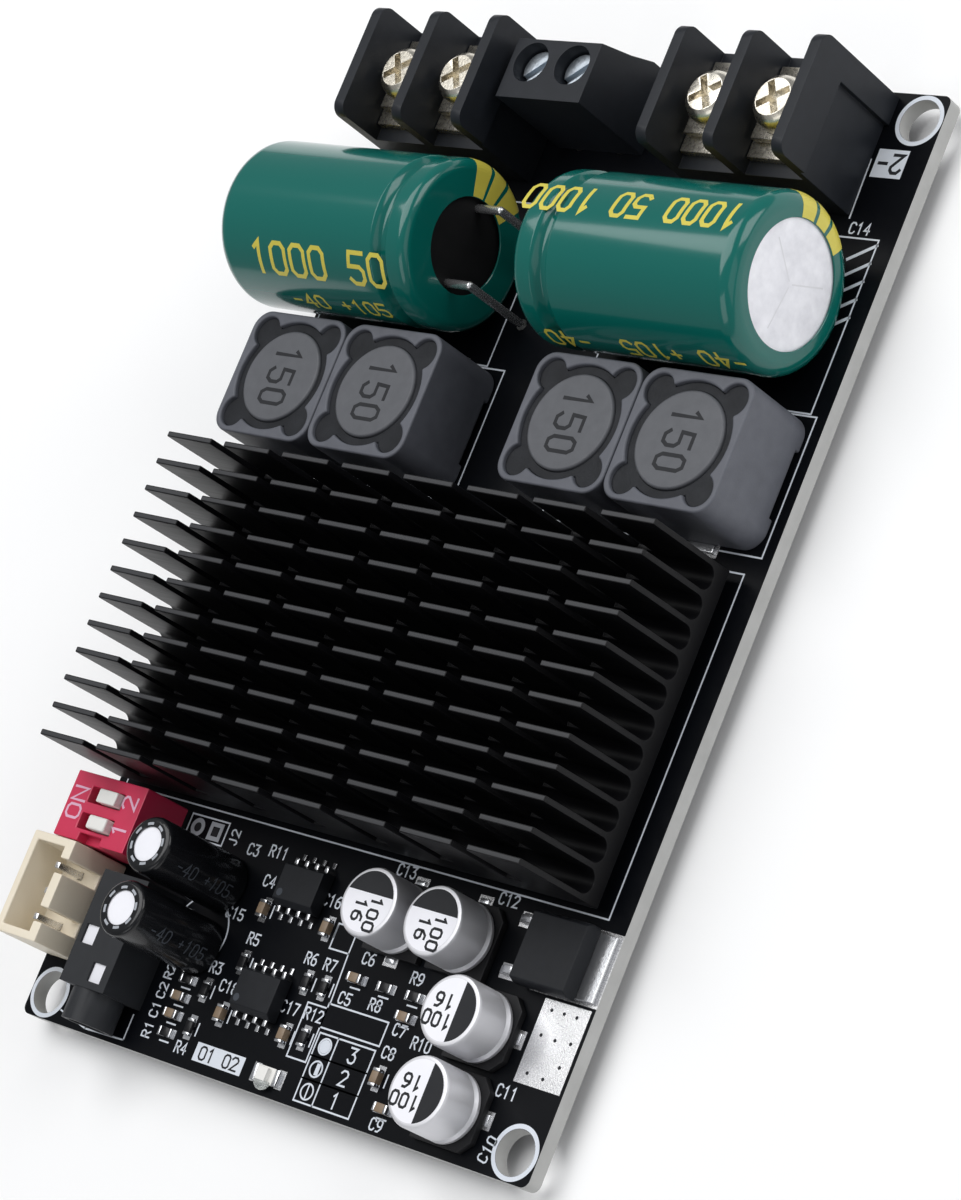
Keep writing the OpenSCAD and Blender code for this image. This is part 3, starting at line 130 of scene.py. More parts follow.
@dataclass(frozen=True)
class Finish:
    """A procedural surface: two close colours, varied roughness and a fine bump.

    Attributes:
        name: Material name.
        base: Main colour.
        tint: Second colour that cloudy noise mixes in.
        roughness: Mean roughness.
        spread: Half range of the roughness.
        metallic: Metal share.
        grain_mm: Size of the fine texture.
        grain: Direction of the fine texture.
        bump: Strength of the fine bump.
        coat: Clear coat weight.
        specular: Specular level.
        clear: Share of light that passes through.
        coat_rough: Roughness of the clear coat.
        cloud: Size of the colour clouds against the fine texture.
        bump_mm: Depth of the fine bump.
    """

    name: str
    base: Colour
    tint: Colour
    roughness: float
    spread: float = 0.06
    metallic: float = 0.0
    grain_mm: float = 0.25
    grain: Grain = Grain.EVEN
    bump: float = 0.15
    coat: float = 0.0
    specular: float = 0.5
    clear: float = 0.0
    coat_rough: float = 0.08
    cloud: float = 12.0
    bump_mm: float = 0.02

    def material(self) -> bpy.types.Material:
        """Finds the material, or builds it on first use.

        Returns:
            The material.
        """
        label = f"{self.name}_finish"
        known = bpy.data.materials.get(label)
        if known:
            return known
        made = bpy.data.materials.new(label)
        made.use_nodes = True
        self._wire(made.node_tree)
        return made

    def _wire(self, tree: bpy.types.NodeTree) -> None:
        """Builds the nodes.

        Args:
            tree: The material's own node tree.
        """
        shader = tree.nodes["Principled BSDF"]
        for socket, value in (("Metallic", self.metallic), ("Coat Weight", self.coat),
                              ("Coat Roughness", self.coat_rough), ("Specular IOR Level", self.specular),
                              ("Transmission Weight", self.clear)):
            shader.inputs[socket].default_value = value
        place = tree.nodes.new("ShaderNodeTexCoord")
        turn = tree.nodes.new("ShaderNodeMapping")
        turn.inputs["Scale"].default_value = self.grain.value
        tree.links.new(place.outputs["Object"], turn.inputs["Vector"])
        cloud = self._noise(tree, turn, self.cloud * self.grain_mm, CLOUD_DETAIL)
        fine = self._noise(tree, turn, self.grain_mm, GRAIN_DETAIL)
        mix = tree.nodes.new("ShaderNodeMix")
        mix.data_type = "RGBA"
        mix.inputs["A"].default_value = (*self.base, 1.0)
        mix.inputs["B"].default_value = (*self.tint, 1.0)
        tree.links.new(cloud.outputs["Fac"], mix.inputs["Factor"])
        tree.links.new(mix.outputs["Result"], shader.inputs["Base Color"])
        ease = tree.nodes.new("ShaderNodeMapRange")
        ease.inputs["To Min"].default_value = max(SMOOTHEST, self.roughness - self.spread)
        ease.inputs["To Max"].default_value = min(1.0, self.roughness + self.spread)
        tree.links.new(fine.outputs["Fac"], ease.inputs["Value"])
        tree.links.new(ease.outputs["Result"], shader.inputs["Roughness"])
        bump = tree.nodes.new("ShaderNodeBump")
        bump.inputs["Strength"].default_value = self.bump
        bump.inputs["Distance"].default_value = self.bump_mm * MM
        tree.links.new(fine.outputs["Fac"], bump.inputs["Height"])
        tree.links.new(bump.outputs["Normal"], shader.inputs["Normal"])

    @staticmethod
    def _noise(tree: bpy.types.NodeTree, vector: bpy.types.Node, size_mm: float,
               detail: float) -> bpy.types.Node:
        """Adds a noise texture.

        Args:
            tree: The material's own node tree.
            vector: Node that gives the texture its coordinates.
            size_mm: Size of the texture's features.
            detail: How many finer layers are added.

        Returns:
            The noise node.
        """
        noise = tree.nodes.new("ShaderNodeTexNoise")
        noise.inputs["Scale"].default_value = 1.0 / (size_mm * MM)
        noise.inputs["Detail"].default_value = detail
        tree.links.new(vector.outputs["Vector"], noise.inputs["Vector"])
        return noise


class Palette:
    """Every finish on the board."""

    MASK = Finish("solder_mask", (0.0018, 0.0022, 0.0032), (0.0035, 0.0042, 0.006), 0.34, 0.06, grain_mm=0.5,
                  bump=0.1, specular=0.09)
    LAMINATE = Finish("cut_laminate", (0.5, 0.5, 0.49), (0.36, 0.36, 0.35), 0.7, 0.1, grain=Grain.ALONG_X)
    SILK = Finish("white_ink", (0.72, 0.76, 0.82), (0.58, 0.62, 0.69), 0.6, 0.1, bump=0.1)
    DARK_INK = Finish("dark_ink", (0.012, 0.013, 0.016), (0.022, 0.023, 0.026), 0.5, specular=0.2)
    TIN = Finish("tin_plate", (0.8, 0.8, 0.81), (0.66, 0.66, 0.67), 0.26, 0.1, 0.9, grain_mm=0.12, bump=0.3)
    SOLDER = Finish("solder", (0.76, 0.77, 0.79), (0.62, 0.63, 0.66), 0.22, 0.08, 0.95, grain_mm=0.3,
                    bump=0.35)
    ANODISED = Finish("black_anodising", (0.0025, 0.0025, 0.0032), (0.005, 0.005, 0.006), 0.42, 0.08,
                      grain=Grain.ALONG_X, bump=0.35, specular=0.16)
    # Painted sheen: a lighter, glossier copy of the anodising, laid on the upward fin tops.
    RUBBED = Finish("painted_sheen_anodising", (0.026, 0.027, 0.03), (0.045, 0.046, 0.05), 0.46, 0.1,
                    grain=Grain.ALONG_X, bump=0.35, specular=0.3)
    NICKEL = Finish("nickel_plate", (0.88, 0.85, 0.78), (0.66, 0.6, 0.48), 0.28, 0.1, 1.0, grain_mm=0.35,
                    bump=0.8)
    STEEL = Finish("zinc_steel", (0.62, 0.68, 0.74), (0.4, 0.45, 0.5), 0.36, 0.12, 1.0, grain_mm=0.3,
                   bump=0.9)
    BRASS = Finish("plated_brass", (0.72, 0.6, 0.34), (0.6, 0.48, 0.26), 0.3, 0.08, 1.0)
    EPOXY = Finish("moulded_epoxy", (0.007, 0.008, 0.01), (0.013, 0.0145, 0.018), 0.5, 0.1, grain_mm=0.08,
                   bump=0.4, specular=0.22)
    SLEEVE = Finish("green_sleeve", (0.001, 0.102, 0.084), (0.003, 0.126, 0.106), 0.17, 0.04, grain_mm=0.9,
                    grain=Grain.ALONG_X, bump=0.08, coat=0.45, specular=0.3)
    YELLOW = Finish("yellow_ink", (0.66, 0.58, 0.09), (0.55, 0.47, 0.06), 0.32, 0.05)
    CAN = Finish("drawn_aluminium", (0.74, 0.74, 0.77), (0.64, 0.64, 0.67), 0.48, 0.1, 0.6,
                 grain=Grain.ALONG_Z)
    LID = Finish("pressed_lid", (0.9, 0.9, 0.95), (0.8, 0.8, 0.85), 0.42, 0.08, 0.15, grain_mm=0.6)
    BRUSHED = Finish("brushed_lid", (0.95, 0.95, 0.99), (0.62, 0.62, 0.665), 0.4, 0.14, 0.3, grain_mm=0.11,
                     bump=0.35)
    RUBBER = Finish("rubber", (0.005, 0.005, 0.0055), (0.01, 0.01, 0.0105), 0.6, 0.1, grain_mm=0.15,
                    specular=0.2)
    FERRITE = Finish("ferrite", (0.078, 0.082, 0.098), (0.12, 0.126, 0.148), 0.5, 0.12, grain_mm=0.12,
                     bump=0.5, specular=0.35)
    CORE = Finish("ground_core", (0.075, 0.078, 0.088), (0.105, 0.109, 0.121), 0.46, 0.1, grain_mm=0.1,
                  bump=0.35, specular=0.35)
    RESIN = Finish("potting_resin", (0.005, 0.0056, 0.007), (0.026, 0.028, 0.033), 0.42, 0.16, grain_mm=0.16,
                   bump=1.0, specular=0.14)
    THERMOSET = Finish("terminal_plastic", (0.0085, 0.0102, 0.0135), (0.015, 0.0175, 0.023), 0.46, 0.1,
                       grain_mm=0.1, specular=0.26)
    JACK = Finish("jack_plastic", (0.014, 0.0155, 0.0185), (0.023, 0.025, 0.029), 0.52, 0.1, grain_mm=0.12,
                  specular=0.3)
    RED = Finish("red_plastic", (0.54, 0.016, 0.068), (0.62, 0.028, 0.092), 0.36, 0.06, coat=0.12, bump=0.1)
    PINK_INK = Finish("pale_pink_ink", (0.76, 0.46, 0.6), (0.68, 0.38, 0.52), 0.45)
    DARK = Finish("dark_plastic", (0.008, 0.008, 0.009), (0.015, 0.015, 0.017), 0.5, specular=0.24)
    WHITE = Finish("white_plastic", (0.84, 0.83, 0.8), (0.76, 0.75, 0.72), 0.4)
    IVORY = Finish("ivory_nylon", (0.74, 0.66, 0.52), (0.8, 0.73, 0.6), 0.48, 0.08, grain_mm=0.2, bump=0.2)
    BLACK_SLEEVE = Finish("black_sleeve", (0.004, 0.0045, 0.0055), (0.007, 0.0075, 0.009), 0.24, 0.05,
                          coat=0.25, specular=0.3)
    GREY_INK = Finish("grey_ink", (0.06, 0.068, 0.082), (0.04, 0.046, 0.056), 0.5, specular=0.2)
    PALE_INK = Finish("pale_ink", (0.42, 0.44, 0.48), (0.3, 0.32, 0.35), 0.5, specular=0.3)
    CHIP_TAN = Finish("tan_ceramic", (0.2, 0.14, 0.09), (0.26, 0.19, 0.125), 0.45, grain_mm=0.1)
    CHIP_BLACK = Finish("resistor_glaze", (0.006, 0.006, 0.007), (0.012, 0.012, 0.014), 0.32, specular=0.3)
    LENS = Finish("lamp_lens", (0.9, 0.93, 0.92), (0.84, 0.88, 0.87), 0.12, 0.04, bump=0.05, clear=0.75)
    PAD = Finish("gap_filler", (0.4, 0.44, 0.5), (0.34, 0.38, 0.44), 0.7)
    FLOOR = Finish("studio_floor", (0.93, 0.93, 0.93), (0.91, 0.91, 0.915), 0.75, 0.05, grain_mm=2.0,
                   bump=0.02)


@dataclass(frozen=True)
class SolidBox:
    """Corners of one connected solid of a CAD node, in metres."""

    low: Vector
    high: Vector

    @property
    def centre(self) -> Vector:
        """Middle of the box."""
        return (self.low + self.high) / 2

    @property
    def size(self) -> Vector:
        """Edge lengths of the box."""
        return self.high - self.low

    @property
    def top(self) -> Vector:
        """Middle of the top face."""
        return Vector((self.centre.x, self.centre.y, self.high.z))


def solids(node: str) -> list[SolidBox]:
    """Finds the connected solids of a CAD node.

    Args:
        node: CAD node name.

    Returns:
        One box for each solid, sorted by X and then Y.
    """
    bm = bmesh.new()
    bm.from_mesh(frame["nodes"][node].data)
    bmesh.ops.remove_doubles(bm, verts=bm.verts[:], dist=WELD)
    bm.verts.index_update()
    seen: set[int] = set()
    boxes: list[SolidBox] = []
    for first in bm.verts:
        if first.index in seen:
            continue
        seen.add(first.index)
        stack, points = [first], []
        while stack:
            vert = stack.pop()
            points.append(vert.co.copy())
            for edge in vert.link_edges:
                other = edge.other_vert(vert)
                if other.index not in seen:
                    seen.add(other.index)
                    stack.append(other)
        low = Vector(min(p[i] for p in points) for i in range(3))
        high = Vector(max(p[i] for p in points) for i in range(3))
        boxes.append(SolidBox(low, high))
    bm.free()
    return sorted(boxes, key=lambda b: (round(b.centre.x, 5), round(b.centre.y, 5)))


def publish(bm: bmesh.types.BMesh, name: str, finishes: Sequence[Finish], body: str, slot: str,
            stands_for: Iterable[str] = ()) -> bpy.types.Object:
    """Turns a mesh into a piece of the object.

    Args:
        bm: The mesh, which is freed.
        name: Piece name.
        finishes: One finish for each material index.
        body: CAD body that carries the piece.
        slot: Material slot of the record; not used.
        stands_for: CAD nodes that the piece replaces.

    Returns:
        The new object.
    """
    mesh = bpy.data.meshes.new(name)
    bm.to_mesh(mesh)
    bm.free()
    for finish in finishes:
        mesh.materials.append(finish.material())
    piece = bpy.data.objects.new(name, mesh)
    bpy.context.scene.collection.objects.link(piece)
    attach(piece, body)
    nodes = list(stands_for)
    if nodes:
        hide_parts(*nodes)
    LOG.info("%s: %d faces on %s", name, len(mesh.polygons), body)
    return piece


def soften(bm: bmesh.types.BMesh, radius: float, segments: int = 2, crease: float = 32.0) -> None:
    """Rounds the sharp edges of a mesh and sets its smooth shading.

    Args:
        bm: The mesh to change.
        radius: Rounding in metres.
        segments: Faces across a rounded edge.
        crease: Angle in degrees past which an edge counts as sharp.
    """
    limit = math.radians(crease)
    if radius > 0:
        sharp = [e for e in bm.edges if e.is_manifold and e.calc_face_angle(0.0) > limit]
        bmesh.ops.bevel(bm, geom=sharp, offset=radius, offset_type="OFFSET", segments=segments, profile=0.5,
                        affect="EDGES", clamp_overlap=True)
    for face in bm.faces:
        face.smooth = True
    for edge in bm.edges:
        edge.smooth = edge.calc_face_angle(0.0) < limit * SHADE_EASE


def folds(bm: bmesh.types.BMesh) -> bool:
    """Tells whether part of any face turns against the face itself.

    Args:
        bm: The mesh to test.

    Returns:
        True where a triangle of a face is turned over.
    """
    bm.normal_update()
    for first, second, third in bm.calc_loop_triangles():
        a, b, c = first.vert.co, second.vert.co, third.vert.co
        if (b - a).cross(c - a).dot(first.face.normal) < -FOLD:
            return True
    return False


def soft_node(node: str, finishes: Sequence[Finish], radius_mm: float, segments: int = 2,
              paint: Optional[Callable[[bmesh.types.BMFace], int]] = None) -> bpy.types.Object:
    """Stands a soft edged copy in for a CAD node.

    Flat faces are joined before the edges are rounded, unless one would then fold over.

    Args:
        node: CAD node name.
        finishes: One finish for each material index.
        radius_mm: Rounding of the sharp edges.
        segments: Faces across a rounded edge.
        paint: Picks a material index for a face, before the edges are rounded.

    Returns:
        The piece.
    """
    for joined in (True, False):
        bm = bmesh.new()
        bm.from_mesh(frame["nodes"][node].data)
        bmesh.ops.remove_doubles(bm, verts=bm.verts[:], dist=WELD)
        if joined:
            bmesh.ops.dissolve_limit(bm, angle_limit=math.radians(FLAT_DEG), verts=bm.verts[:],
                                     edges=bm.edges[:])
        for face in bm.faces:
            face.material_index = paint(face) if paint else 0
        soften(bm, radius_mm * MM, segments)
        if not folds(bm):
            break
        LOG.info("%s folds with its flat faces joined", node)
    piece = publish(bm, f"{node}_piece", finishes, BODY_OF[node], SLOT_OF[node], [node])
    even = piece.modifiers.new("even_normals", "WEIGHTED_NORMAL")
    even.keep_sharp = True
    return piece


@dataclass(frozen=True)
class Soft:
    """A softened solid of a sub-assembly.

    Attributes:
        node: CAD node name, with the side or number of a repeated one in braces.
        finish: Its finish.
        radius_mm: Rounding of its sharp edges.
        segments: Faces across a rounded edge.
    """

    node: str
    finish: Finish
    radius_mm: float
    segments: int = 2


def soft_nodes(rows: Iterable[Soft], which: object = "") -> None:
    """Stands soft edged copies in for several CAD nodes.

    Args:
        rows: The solids.
        which: Side or number that goes into the names of repeated ones.
    """
    for row in rows:
        soft_node(row.node.format(which), [row.finish], row.radius_mm, row.segments)


def dress_node(node: str, finish: Finish) -> None:
    """Gives a CAD node that stays in view, or deep inside, its finish.

    Args:
        node: CAD node name.
        finish: The finish.
    """
    mesh = frame["nodes"][node].data
    mesh.materials.clear()
    mesh.materials.append(finish.material())
    LOG.info("%s dressed in %s", node, finish.name)


Warp = Callable[[Vector], Vector]
Path = Sequence[Pair]
GLYPH_H = 6.0
GLYPH_W = 4.0
GLYPHS: dict[str, tuple[Path, ...]] = {
    "0": (((1, 0), (3, 0), (4, 1), (4, 5), (3, 6), (1, 6), (0, 5), (0, 1), (1, 0)),),
    "1": (((0.9, 4.9), (2.1, 6), (2.1, 0)),),
    "2": (((0, 5), (1, 6), (3, 6), (4, 5), (4, 4), (0, 0), (4, 0)),),
    "3": (((0, 6), (4, 6), (2, 3.6), (3, 3.6), (4, 2.6), (4, 1), (3, 0), (1, 0), (0, 1)),),
    "4": (((3, 0), (3, 6), (0, 2), (4, 2)),),
    "5": (((4, 6), (0.3, 6), (0, 3.4), (3, 3.4), (4, 2.6), (4, 1), (3, 0), (1, 0), (0, 0.8)),),
    "6": (((3.5, 6), (2, 6), (0, 4), (0, 1), (1, 0), (3, 0), (4, 1), (4, 2.4), (3, 3.4), (0.8, 3.4)),),
    "7": (((0, 6), (4, 6), (1.5, 0)),),
    "8": (((1, 3.2), (0, 4.2), (0, 5), (1, 6), (3, 6), (4, 5), (4, 4.2), (3, 3.2), (1, 3.2),
           (0, 2.2), (0, 1), (1, 0), (3, 0), (4, 1), (4, 2.2), (3, 3.2)),),
    "9": (((0.5, 0), (2, 0), (4, 2), (4, 5), (3, 6), (1, 6), (0, 5), (0, 3.6), (1, 2.6), (3.2, 2.6)),),
    "C": (((4, 5), (3, 6), (1, 6), (0, 5), (0, 1), (1, 0), (3, 0), (4, 1)),),
    "J": (((3, 6), (3, 1), (2, 0), (1, 0), (0, 1)),),
    "N": (((0, 0), (0, 6), (4, 0), (4, 6)),),
    "O": (((1, 0), (3, 0), (4, 1), (4, 5), (3, 6), (1, 6), (0, 5), (0, 1), (1, 0)),),
    "R": (((0, 0), (0, 6), (3, 6), (4, 5), (4, 4), (3, 3), (0.3, 3)), ((2, 2.7), (4, 0))),
    "-": (((0.5, 3), (3.5, 3)),),
    "+": (((0.5, 3), (3.5, 3)), ((2, 4.5), (2, 3.45)), ((2, 2.55), (2, 1.5))),
    " ": (),
}


@dataclass(frozen=True)
class Words:
    """One line of plain drawn lettering, in the drawing's own millimetres.

    Attributes:
        text: What it says, in the letters of GLYPHS.
        size: Letter height.
        x: Middle of the words.
        y: Middle of the words.
        turn: Turn of the words in degrees.
        line: Line width.
        wide: Width of a letter against the plain one.
    """

    text: str
    size: float
    x: float = 0.0
    y: float = 0.0
    turn: float = 0.0
    line: float = 0.17
    wide: float = 0.9

    def paths(self) -> list[Path]:
        """Lays out the letters.

        Returns:
            Their strokes, placed and turned.
        """
        unit = self.size / GLYPH_H
        letter = GLYPH_W * self.wide * unit
        pitch = letter + max(LETTER_GAP * self.size, LINE_GAP * self.line)
        left = -(pitch * (len(self.text) - 1) + letter) / 2
        spin = Matrix.Rotation(math.radians(self.turn), 2)
        made: list[Path] = []
        for i, glyph in enumerate(self.text):
            start = left + i * pitch
            for path in GLYPHS[glyph]:
                places = [(start + u * self.wide * unit, (v - GLYPH_H / 2) * unit) for u, v in path]
                turned = [spin @ Vector(place) for place in places]
                made.append([(self.x + p.x, self.y + p.y) for p in turned])
        return made


class Marks:
    """Collects flat printed marks, drawn in millimetres, into one thin mesh."""

    def __init__(self) -> None:
        """Starts with no marks."""
        self.bm = bmesh.new()

    def prism(self, outline: Path, warp: Warp, height: float = INK) -> None:
        """Adds a thin closed plate.

        Args:
            outline: Corners in millimetres, counter-clockwise.
            warp: Takes a point in millimetres to the frame.
            height: Thickness in millimetres.
        """
        low = [self.bm.verts.new(warp(Vector((x, y, 0.0)))) for x, y in outline]
        high = [self.bm.verts.new(warp(Vector((x, y, height)))) for x, y in outline]
        self.bm.faces.new(high)
        self.bm.faces.new(list(reversed(low)))
        for i in range(len(outline)):
            j = (i + 1) % len(outline)
            self.bm.faces.new((low[i], low[j], high[j], high[i]))

    def plate(self, x0: float, y0: float, x1: float, y1: float, warp: Warp, height: float = INK) -> None:
        """Adds a filled rectangle."""
        self.prism([(x0, y0), (x1, y0), (x1, y1), (x0, y1)], warp, height)

    def ribbon(self, path: Path, width: float, warp: Warp, height: float = INK, step: float = 0.0,
               overrun: bool = True) -> None:
        """Adds a line of even width along a path, joined at its corners.

        Args:
            path: Points in millimetres; a closed path ends where it starts.
            width: Line width in millimetres.
            warp: Takes a point in millimetres to the frame.
            height: Thickness in millimetres.
            step: Longest straight piece, for a curved ground; 0 leaves each one whole.
            overrun: Carries an open line half its width past its two ends.
        """
        points = [Vector((x, y, 0.0)) for x, y in path]
        if step > 0:
            fine = [points[0]]
            for a, b in zip(points, points[1:]):
                pieces = max(1, math.ceil((b - a).length / step))
                fine += [a.lerp(b, (i + 1) / pieces) for i in range(pieces)]
            points = fine
        closed = (points[0] - points[-1]).length < NEAR
        if closed:
            points = points[:-1]
        count = len(points)
        rails: list[tuple[Vector, Vector]] = []
        for i, point in enumerate(points):
            before = point - points[i - 1] if closed or i else points[1] - point
            after = points[(i + 1) % count] - point if closed or i < count - 1 else before
            along = before.normalized() + after.normalized()
            along = along.normalized() if along.length > NEAR else after.normalized()
            side = Vector((-along.y, along.x, 0.0))
            lean = max(LEAST_LEAN, abs(side.dot(Vector((-after.y, after.x, 0.0)).normalized())))
            end = width / 2 if overrun and not closed and i in (0, count - 1) else 0.0
            middle = point + along * (end if i else -end)
            rails.append((middle - side * (width / 2 / lean), middle + side * (width / 2 / lean)))
        up = Vector((0.0, 0.0, height))
        quads = [[self.bm.verts.new(warp(v)) for v in (r, l, l + up, r + up)] for r, l in rails]
        for i in range(count if closed else count - 1):
            a, b = quads[i], quads[(i + 1) % count]
            for k in range(4):
                m = (k + 1) % 4
                self.bm.faces.new((a[k], a[m], b[m], b[k]))
        if not closed:
            self.bm.faces.new(list(reversed(quads[0])))
            self.bm.faces.new(quads[-1])

    def stroke(self, a: Pair, b: Pair, width: float, warp: Warp) -> None:
        """Adds a straight line with square ends."""
        self.ribbon([a, b], width, warp)

    def frame_box(self, x0: float, y0: float, x1: float, y1: float, width: float, warp: Warp) -> None:
        """Adds a rectangle drawn as one closed line."""
        self.ribbon([(x0, y0), (x1, y0), (x1, y1), (x0, y1), (x0, y0)], width, warp)

    def ring(self, x: float, y: float, inner: float, outer: float, warp: Warp, start: float = 0.0,
             sweep: float = 360.0, height: float = INK, sides: int = 48) -> None:
        """Adds a ring or an arc of one, as one line bent round.

        Args:
            x: Middle of the ring.
            y: Middle of the ring.
            inner: Inner radius in millimetres.
            outer: Outer radius in millimetres.
            warp: Takes a point in millimetres to the frame.
            start: First angle in degrees.
            sweep: Angle that the arc covers, in degrees.
            height: Thickness in millimetres.
            sides: Straight pieces in a whole turn.
        """
        steps = max(3, int(sides * sweep / 360.0))
        middle = (inner + outer) / 2
        angles = [math.radians(start + sweep * i / steps) for i in range(steps + 1)]
        path = [(x + middle * math.cos(a), y + middle * math.sin(a)) for a in angles]
        self.ribbon(path, outer - inner, warp, height, overrun=False)

    def patch(self, us: Sequence[float], vs: Sequence[float], warp: Warp, height: float = INK) -> None:
        """Adds a field of ink over a curved ground, as one closed shell.

        Args:
            us: Grid lines one way.
            vs: Grid lines the other way.
            warp: Takes a grid point to the frame.
            height: Thickness in millimetres.
        """

        def sheet(z: float) -> list[list[bmesh.types.BMVert]]:
            """Lays the corners of one side of the shell."""
            return [[self.bm.verts.new(warp(Vector((u, v, z)))) for v in vs] for u in us]

        low, high = sheet(0.0), sheet(height)
        m, n = len(us) - 1, len(vs) - 1
        for i in range(m):
            for j in range(n):
                corners = ((i, j), (i + 1, j), (i + 1, j + 1), (i, j + 1))
                self.bm.faces.new([high[a][b] for a, b in corners])
                self.bm.faces.new([low[a][b] for a, b in reversed(corners)])
        rim = [(i, 0) for i in range(m)] + [(m, j) for j in range(n)]
        rim += [(i, n) for i in range(m, 0, -1)] + [(0, j) for j in range(n, 0, -1)]
        for (a, b), (c, d) in zip(rim, rim[1:] + rim[:1]):
            self.bm.faces.new((low[a][b], low[c][d], high[c][d], high[a][b]))

    def disc(self, x: float, y: float, radius: float, warp: Warp, height: float = INK,
             sides: int = 32) -> None:
        """Adds a filled disc."""
        angles = [i * (2 * math.pi / sides) for i in range(sides)]
        self.prism([(x + radius * math.cos(a), y + radius * math.sin(a)) for a in angles], warp, height)

    def text(self, words: Words, warp: Warp, height: float = INK, step: float = 0.0) -> None:
        """Adds plain drawn lettering, in straight pieces no longer than the step on a curved ground."""
        for path in words.paths():
            self.ribbon(path, words.line, warp, height, step)

    def publish(self, name: str, finish: Finish, slot: str, body: str = ROOT) -> bpy.types.Object:
        """Makes the marks one piece and returns it."""
        bmesh.ops.recalc_face_normals(self.bm, faces=self.bm.faces[:])
        return publish(self.bm, name, [finish], body, slot)


def flat_at(origin: Vector, turn: float = 0.0, sink: float = INK_SINK) -> Warp:
    """Makes a warp that lays marks flat on a level face.

    Args:
        origin: Where the drawing's own zero goes, in metres.
        turn: Turn about Z in degrees.
        sink: How far the marks bite into the face, in millimetres.

    Returns:
        The warp.
    """
    place = Matrix.Translation(origin - Vector((0.0, 0.0, sink * MM)))
    matrix = place @ Matrix.Rotation(math.radians(turn), 4, "Z")
    return lambda p: matrix @ (p * MM)


@dataclass(frozen=True)
class Roll:
    """A cylinder that marks are rolled onto.

    Attributes:
        origin: A point on the axis, where the drawing's own zero goes.
        along: The way the words run.
        out: Outward direction at angle 0.
        round: Outward direction at angle 90, which is also the way the letters stand.
        radius: Cylinder radius in metres.
    """

    origin: Vector
    along: Vector
    out: Vector
    round: Vector
    radius: float

    def at(self, degrees: float) -> Warp:
        """Makes the warp for a drawing at one place round the cylinder.

        Args:
            degrees: Angle of the drawing's middle line.

        Returns:
            The warp.
        """

        def bend(p: Vector) -> Vector:
            """Rolls a point onto the cylinder.

            Args:
                p: The point in millimetres.

            Returns:
                Its place in the frame.
            """
            angle = math.radians(degrees) + p.y * MM / self.radius
            reach = self.radius + (p.z - SKIN_SINK) * MM
            return (self.origin + self.along * (p.x * MM)
                    + self.out * (reach * math.cos(angle)) + self.round * (reach * math.sin(angle)))

        return bend


class StudTree:
    """Geometry Nodes that stand a small round or square stud on each point of a mesh."""

    def __init__(self, name: str, finish: Finish, sides: int) -> None:
        """Builds the tree.

        Args:
            name: Tree name.
            finish: Finish of the studs.
            sides: Sides of a stud, 4 for a square one.
        """
        self.tree = bpy.data.node_groups.new(name, "GeometryNodeTree")
        face = self.tree.interface
        face.new_socket("Points", in_out="INPUT", socket_type="NodeSocketGeometry")
        face.new_socket("Studs", in_out="OUTPUT", socket_type="NodeSocketGeometry")
        self.ids: dict[str, str] = {}
        for label, kind in (("Radius", "Float"), ("Depth", "Float"), ("Stretch", "Vector")):
            socket = face.new_socket(label, in_out="INPUT", socket_type=f"NodeSocket{kind}")
            self.ids[label] = socket.identifier
        self._wire(finish, sides)

    def _wire(self, finish: Finish, sides: int) -> None:
        """Links the nodes from the points to the finished studs.

        Args:
            finish: Finish of the studs.
            sides: Sides of a stud.
        """
        nodes, links = self.tree.nodes, self.tree.links
        given = nodes.new("NodeGroupInput")
        result = nodes.new("NodeGroupOutput")
        stud = nodes.new("GeometryNodeMeshCylinder")
        stud.inputs["Vertices"].default_value = sides
        links.new(given.outputs["Radius"], stud.inputs["Radius"])
        links.new(given.outputs["Depth"], stud.inputs["Depth"])
        turn = nodes.new("GeometryNodeTransform")
        turn.inputs["Rotation"].default_value = (0.0, 0.0, math.pi / sides)
        links.new(stud.outputs["Mesh"], turn.inputs["Geometry"])
        shape = nodes.new("GeometryNodeTransform")
        links.new(turn.outputs["Geometry"], shape.inputs["Geometry"])
        links.new(given.outputs["Stretch"], shape.inputs["Scale"])
        spread = nodes.new("GeometryNodeInstanceOnPoints")
        links.new(given.outputs["Points"], spread.inputs["Points"])
        links.new(shape.outputs["Geometry"], spread.inputs["Instance"])
        real = nodes.new("GeometryNodeRealizeInstances")
        links.new(spread.outputs["Instances"], real.inputs["Geometry"])
        coat = nodes.new("GeometryNodeSetMaterial")
        coat.inputs["Material"].default_value = finish.material()
        links.new(real.outputs["Geometry"], coat.inputs["Geometry"])
        links.new(coat.outputs["Geometry"], result.inputs["Studs"])

    def grow(self, name: str, points: Sequence[Vector], radius: float, depth: float,
             stretch: Vector = Vector((1.0, 1.0, 1.0)), body: str = ROOT) -> bpy.types.Object:
        """Makes the studs one plain mesh.

        Args:
            name: Piece name.
            points: Middle of each stud.
            radius: Stud radius, or half diagonal of a square one.
            depth: Stud height.
            stretch: Scale of a stud along each axis.
            body: CAD body that carries the piece.

        Returns:
            The piece.
        """
        seed = bpy.data.meshes.new(f"{name}_points")
        seed.from_pydata([p[:] for p in points], [], [])
        piece = bpy.data.objects.new(name, seed)
        bpy.context.scene.collection.objects.link(piece)
        grown = piece.modifiers.new("studs", "NODES")
        grown.node_group = self.tree
        grown[self.ids["Radius"]] = radius
        grown[self.ids["Depth"]] = depth
        grown[self.ids["Stretch"]] = stretch
        graph = bpy.context.evaluated_depsgraph_get()
        mesh = bpy.data.meshes.new_from_object(piece.evaluated_get(graph))
        piece.modifiers.clear()
        piece.data = mesh
        bpy.data.meshes.remove(seed)
        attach(piece, body)
        LOG.info("%s: %d studs", name, len(points))
        return piece


